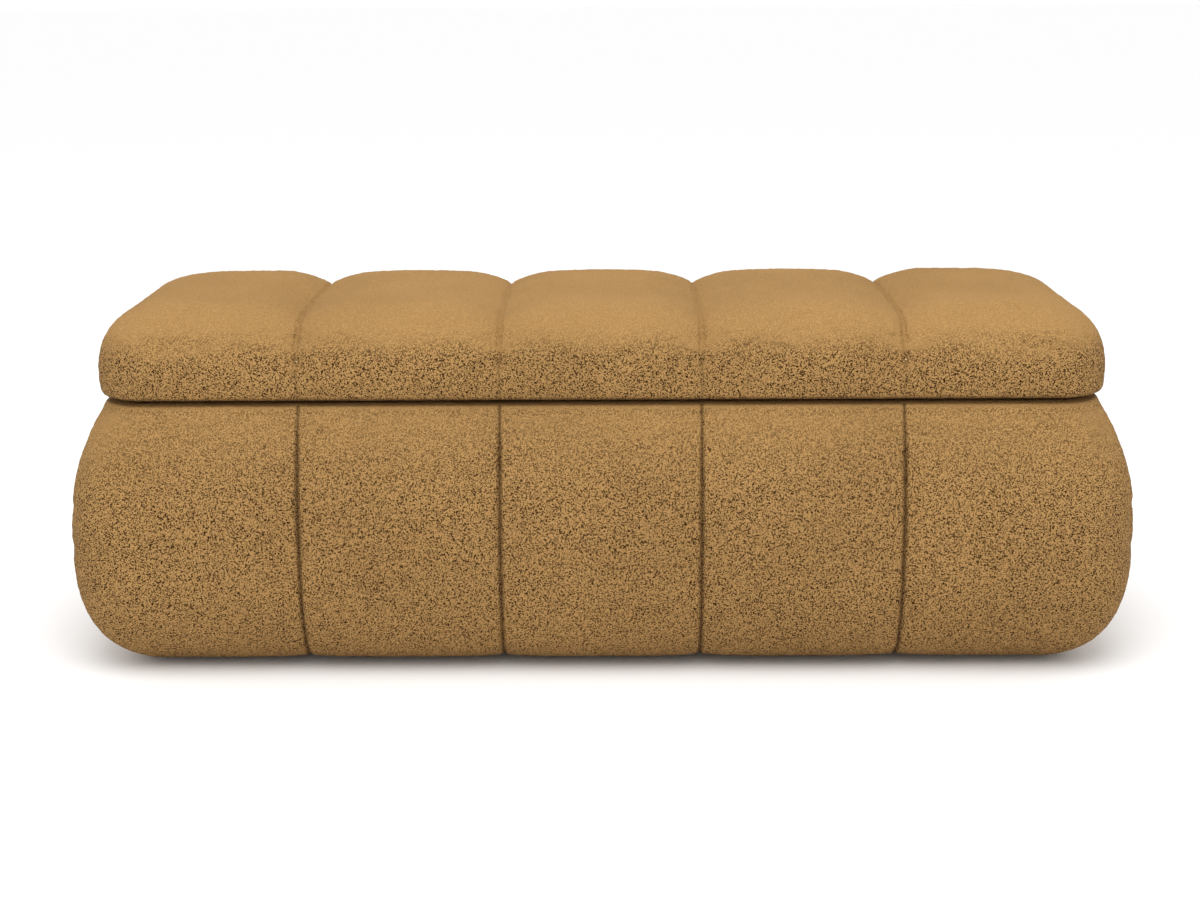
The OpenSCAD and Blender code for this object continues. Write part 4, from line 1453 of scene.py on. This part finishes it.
@dataclass
class Linings:
    """Black cloths: the tub in the box, the lid's lining and the dust cover, with staples."""

    staple: tuple[float, float, float] = (10 * MM, 1.2 * MM, 0.5 * MM)
    staple_pitch: float = 0.048

    def tub(self) -> None:
        """Sews the storage lining: a box of cloth, open at the top."""
        low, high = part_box("storage_lining")
        deselect_all()
        bpy.ops.mesh.primitive_cube_add(size=1)
        piece = bpy.context.object
        piece.name = "storage_tub"
        size = np.array(high) - np.array(low)
        clear = 0.25 * MM
        middle = (np.array(high) + np.array(low)) / 2
        move_points(piece, points_of(piece) * (size - [2 * clear, 2 * clear, 0]) + middle)
        bpy.ops.object.mode_set(mode="EDIT")
        bpy.ops.mesh.select_mode(type="FACE")
        pick_faces(piece, lambda face: face.normal.z > 0.9)
        bpy.ops.mesh.delete(type="FACE")
        for axis, place in [(0, x) for x in np.linspace(low.x, high.x, 80)[1:-1]] + [
                (1, y) for y in np.linspace(low.y, high.y, 24)[1:-1]] + [
                (2, z) for z in np.linspace(low.z, high.z, 22)[1:-1]]:
            bpy.ops.mesh.select_all(action="SELECT")
            spot, normal = [0.0] * 3, [0.0] * 3
            spot[axis], normal[axis] = float(place), 1.0
            bpy.ops.mesh.bisect(plane_co=spot, plane_no=normal)
        bpy.ops.object.mode_set(mode="OBJECT")
        self.rumple(piece, low, high)
        self.turn_inwards(piece)
        apply_modifier(piece, "SOLIDIFY", thickness=0.9 * MM, offset=1.0)
        smooth(piece, 50)
        finish_piece(piece, LINING, BASE, ["storage_lining"])

    def rumple(self, piece: bpy.types.Object, low: Vector, high: Vector) -> None:
        """Lets the cloth sag off the floor's corners and ripple on its walls."""
        points = points_of(piece)
        centre = (np.array(low) + np.array(high)) / 2
        ripple = soft_noise(points, 0.11, 3.1) * 0.5 + soft_noise(points, 0.045, 7.7) * 0.3
        height = np.clip((points[:, 2] - low.z) / 0.05, 0, 1)
        on_wall = height * np.clip((high.z - 0.01 - points[:, 2]) / 0.06, 0, 1)
        inward = centre - points
        inward[:, 2] = 0
        near_x = np.abs(points[:, 0] - centre[0]) > high.x - 2 * MM
        near_y = np.abs(points[:, 1] - centre[1]) > high.y - 2 * MM
        push = np.zeros_like(points)
        swing = np.maximum(0, ripple + 0.35) * 1.1 * MM
        push[near_x, 0] = (np.sign(inward[:, 0]) * swing * on_wall)[near_x]
        push[near_y, 1] = (np.sign(inward[:, 1]) * swing * on_wall * 1.8)[near_y]
        floor = points[:, 2] < low.z + 1 * MM
        push[floor, 2] = np.maximum(0, ripple + 0.5)[floor] * 0.7 * MM
        move_points(piece, points + push)

    def turn_inwards(self, piece: bpy.types.Object) -> None:
        """Turns the faces to the side that shows, which is the inside of the box."""
        with editing(piece):
            bpy.ops.mesh.select_all(action="SELECT")
            bpy.ops.mesh.flip_normals()

    def flat_cloth(self, node: str, name: str, look: Finish, body: str, radius: float) -> None:
        """Lays a flat cloth with a turned-in edge.

        Args:
            node: The CAD node that it stands for.
            name: The piece's name.
            look: Its material.
            body: The body that it moves with.
            radius: Its corner radius.
        """
        low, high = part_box(node)
        thick = high.z - low.z
        piece = round_slab(name, (high.x, high.y), radius, low.z + thick * 0.35, high.z)
        with editing(piece):
            bpy.ops.mesh.select_mode(type="FACE")
            pick_faces(piece, lambda face: face.normal.z < -0.9)
            bpy.ops.mesh.inset(thickness=12 * MM)
            pick_faces(piece, lambda face: face.normal.z < -0.9 and len(face.verts) == 4)
            bpy.ops.transform.translate(value=(0, 0, -thick * 0.35))
        smooth(piece, 30)
        finish_piece(piece, look, body, [node])

    def staples(self, name: str, body: str, half: tuple[float, float], z: float) -> None:
        """Shoots a row of staples round a flat cloth's underside.

        Args:
            name: The piece's name.
            body: The body that it moves with.
            half: Half the row's length and depth.
            z: Height of the staples' backs.
        """
        length, width, height = self.staple
        deselect_all()
        bpy.ops.mesh.primitive_cube_add(size=1)
        one = bpy.context.object
        move_points(one, points_of(one) * np.array([length, width, height]))
        bpy.ops.object.mode_set(mode="EDIT")
        bpy.ops.mesh.select_mode(type="FACE")
        for sign in (-1, 1):
            pick_faces(one, lambda face: face.normal.x * sign > 0.9)
            bpy.ops.mesh.extrude_region_move(
                TRANSFORM_OT_translate={"value": (sign * width * 0.7, 0, height * 0.9)})
        bpy.ops.object.mode_set(mode="OBJECT")
        apply_modifier(one, "BEVEL", width=0.15 * MM, segments=1)
        shape = points_of(one)
        copies = []
        for sign in (-1, 1):
            for x in np.arange(-half[0] + 0.03, half[0] - 0.02, self.staple_pitch):
                copies.append((x, sign * half[1], 0.0))
            for y in np.arange(-half[1] + 0.03, half[1] - 0.02, self.staple_pitch):
                copies.append((sign * half[0], y, math.pi / 2))
        rng = np.random.default_rng(11)
        placed, faces = [], []
        quads = [tuple(face.vertices) for face in one.data.polygons]
        for number, (x, y, turn) in enumerate(copies):
            angle = turn + rng.uniform(-0.25, 0.25)
            c, s = math.cos(angle), math.sin(angle)
            turned = shape @ np.array([[c, s, 0], [-s, c, 0], [0, 0, 1]])
            placed.append(turned + [x, y, z])
            faces += [tuple(v + number * len(shape) for v in quad) for quad in quads]
        piece = mesh_piece(name, np.concatenate(placed), faces)
        bpy.data.objects.remove(one)
        finish_piece(piece, ZINC, body)

    def build(self) -> None:
        """Makes every cloth and its staples."""
        self.tub()
        self.flat_cloth("lid_lining", "lid_lining_cloth", LINING, LID, 0.05)
        self.flat_cloth("dust_cover", "dust_cover_cloth", DUST, BASE, 0.004)
        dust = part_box("dust_cover")
        self.staples("dust_cover_staples", BASE, (dust[1].x - 6 * MM, dust[1].y - 6 * MM),
                     dust[0].z - 0.2 * MM)
        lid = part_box("lid_lining")
        self.staples("lid_lining_staples", LID, (lid[1].x - 16 * MM, lid[1].y - 24 * MM),
                     lid[0].z - 0.2 * MM)


# ---------------------------------------------------------------- CAD pieces and studio


@dataclass
class Structure:
    """Boards, hinges, struts and fasteners: CAD pieces that keep their shape."""

    def look_for(self, name: str) -> Finish:
        """The finish of a CAD node, by its name.

        Args:
            name: The node's name.

        Returns:
            Its finish.
        """
        rules: tuple[tuple[str, Finish], ...] = (
            ("screws", ZINC), ("floor_board", PLYWOOD), ("_board", PARTICLE), ("rail", PINE),
            ("dowels", PINE), ("glides", NYLON), ("leaves", ZINC), ("pins", ZINC),
            ("brackets", BLACK_COAT), ("socket", STRUT_NYLON), ("gland", STRUT_NYLON),
            ("tube", ENAMEL), ("rod", BRIGHT_ROD), ("bumpers", RUBBER))
        for word, look in rules:
            if word in name:
                return look
        return FOAM if "pad" in name or "foam" in name else LINING

    def dress(self) -> None:
        """Gives every CAD node its material."""
        for name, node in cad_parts.items():
            look = BOUCLE if name in ("body_cover", "lid_cover") else self.look_for(name)
            if not node.material_slots:
                node.data.materials.append(look.material())
            for slot in node.material_slots:
                slot.material = look.material()
            LOG.info("%s: dressed in %s", name, look.name)


@dataclass
class Studio:
    """Pale floor, soft light and the camera."""

    lens: float = 60.5
    distance: float = 2.7493
    height: float = 0.9187
    side: float = 0.0193
    pitch: float = 0.238
    turn: float = 0.0068
    roll: float = 0.0052

    def floor(self) -> None:
        """Lays a wide pale floor."""
        deselect_all()
        bpy.ops.mesh.primitive_plane_add(size=80, location=(0, 0, 0))
        floor = bpy.context.object
        floor.name = "studio_floor"
        paper = bpy.data.materials.new("studio_paper")
        paper.use_nodes = True
        shader = paper.node_tree.nodes["Principled BSDF"]
        shader.inputs["Base Color"].default_value = (0.93, 0.93, 0.93, 1)
        shader.inputs["Roughness"].default_value = 0.9
        shader.inputs["Specular IOR Level"].default_value = 0.1
        floor.data.materials.append(paper)

    def light(self) -> None:
        """Hangs a wide soft box over the ottoman and fills the room with white."""
        world = bpy.data.worlds.new("studio")
        world.use_nodes = True
        background = world.node_tree.nodes["Background"]
        background.inputs["Color"].default_value = (1, 1, 1, 1)
        background.inputs["Strength"].default_value = 1.06
        bpy.context.scene.world = world
        for name, place, size, power in (("overhead", (0.0, -1.5, 2.7), 2.6, 50.0),
                                         ("front_fill", (-1.2, -3.6, 2.6), 2.0, 6.0)):
            lamp = bpy.data.lights.new(name, "AREA")
            lamp.shape = "DISK"
            lamp.size = size
            lamp.energy = power
            holder = bpy.data.objects.new(name, lamp)
            holder.location = place
            aim = Vector((0, 0, 0.2)) - Vector(place)
            holder.rotation_euler = aim.to_track_quat("-Z", "Y").to_euler()
            bpy.context.scene.collection.objects.link(holder)
        bpy.context.scene.view_settings.view_transform = "Standard"

    def camera(self) -> None:
        """Sets the camera in front, a little above, looking slightly down."""
        data = bpy.data.cameras.new("camera")
        data.lens = self.lens
        data.sensor_width = 36
        camera = bpy.data.objects.new("camera", data)
        camera.rotation_mode = "XYZ"
        camera.location = (self.side, -self.distance, self.height)
        camera.rotation_euler = (math.pi / 2 - self.pitch, self.roll, self.turn)
        bpy.context.scene.collection.objects.link(camera)
        bpy.context.scene.camera = camera

    def build(self) -> None:
        """Makes the camera, the floor and the lights."""
        self.camera()
        self.floor()
        self.light()


def main() -> None:
    """Builds the ottoman's looks in order."""
    logging.basicConfig(level=logging.INFO, format="%(message)s")
    Studio().build()
    Structure().dress()
    body = PaddedBody()
    body.cover()
    body.pads()
    lid = PaddedLid()
    lid.cover()
    lid.pads()
    Linings().build()


if __name__ == "__main__":
    main()
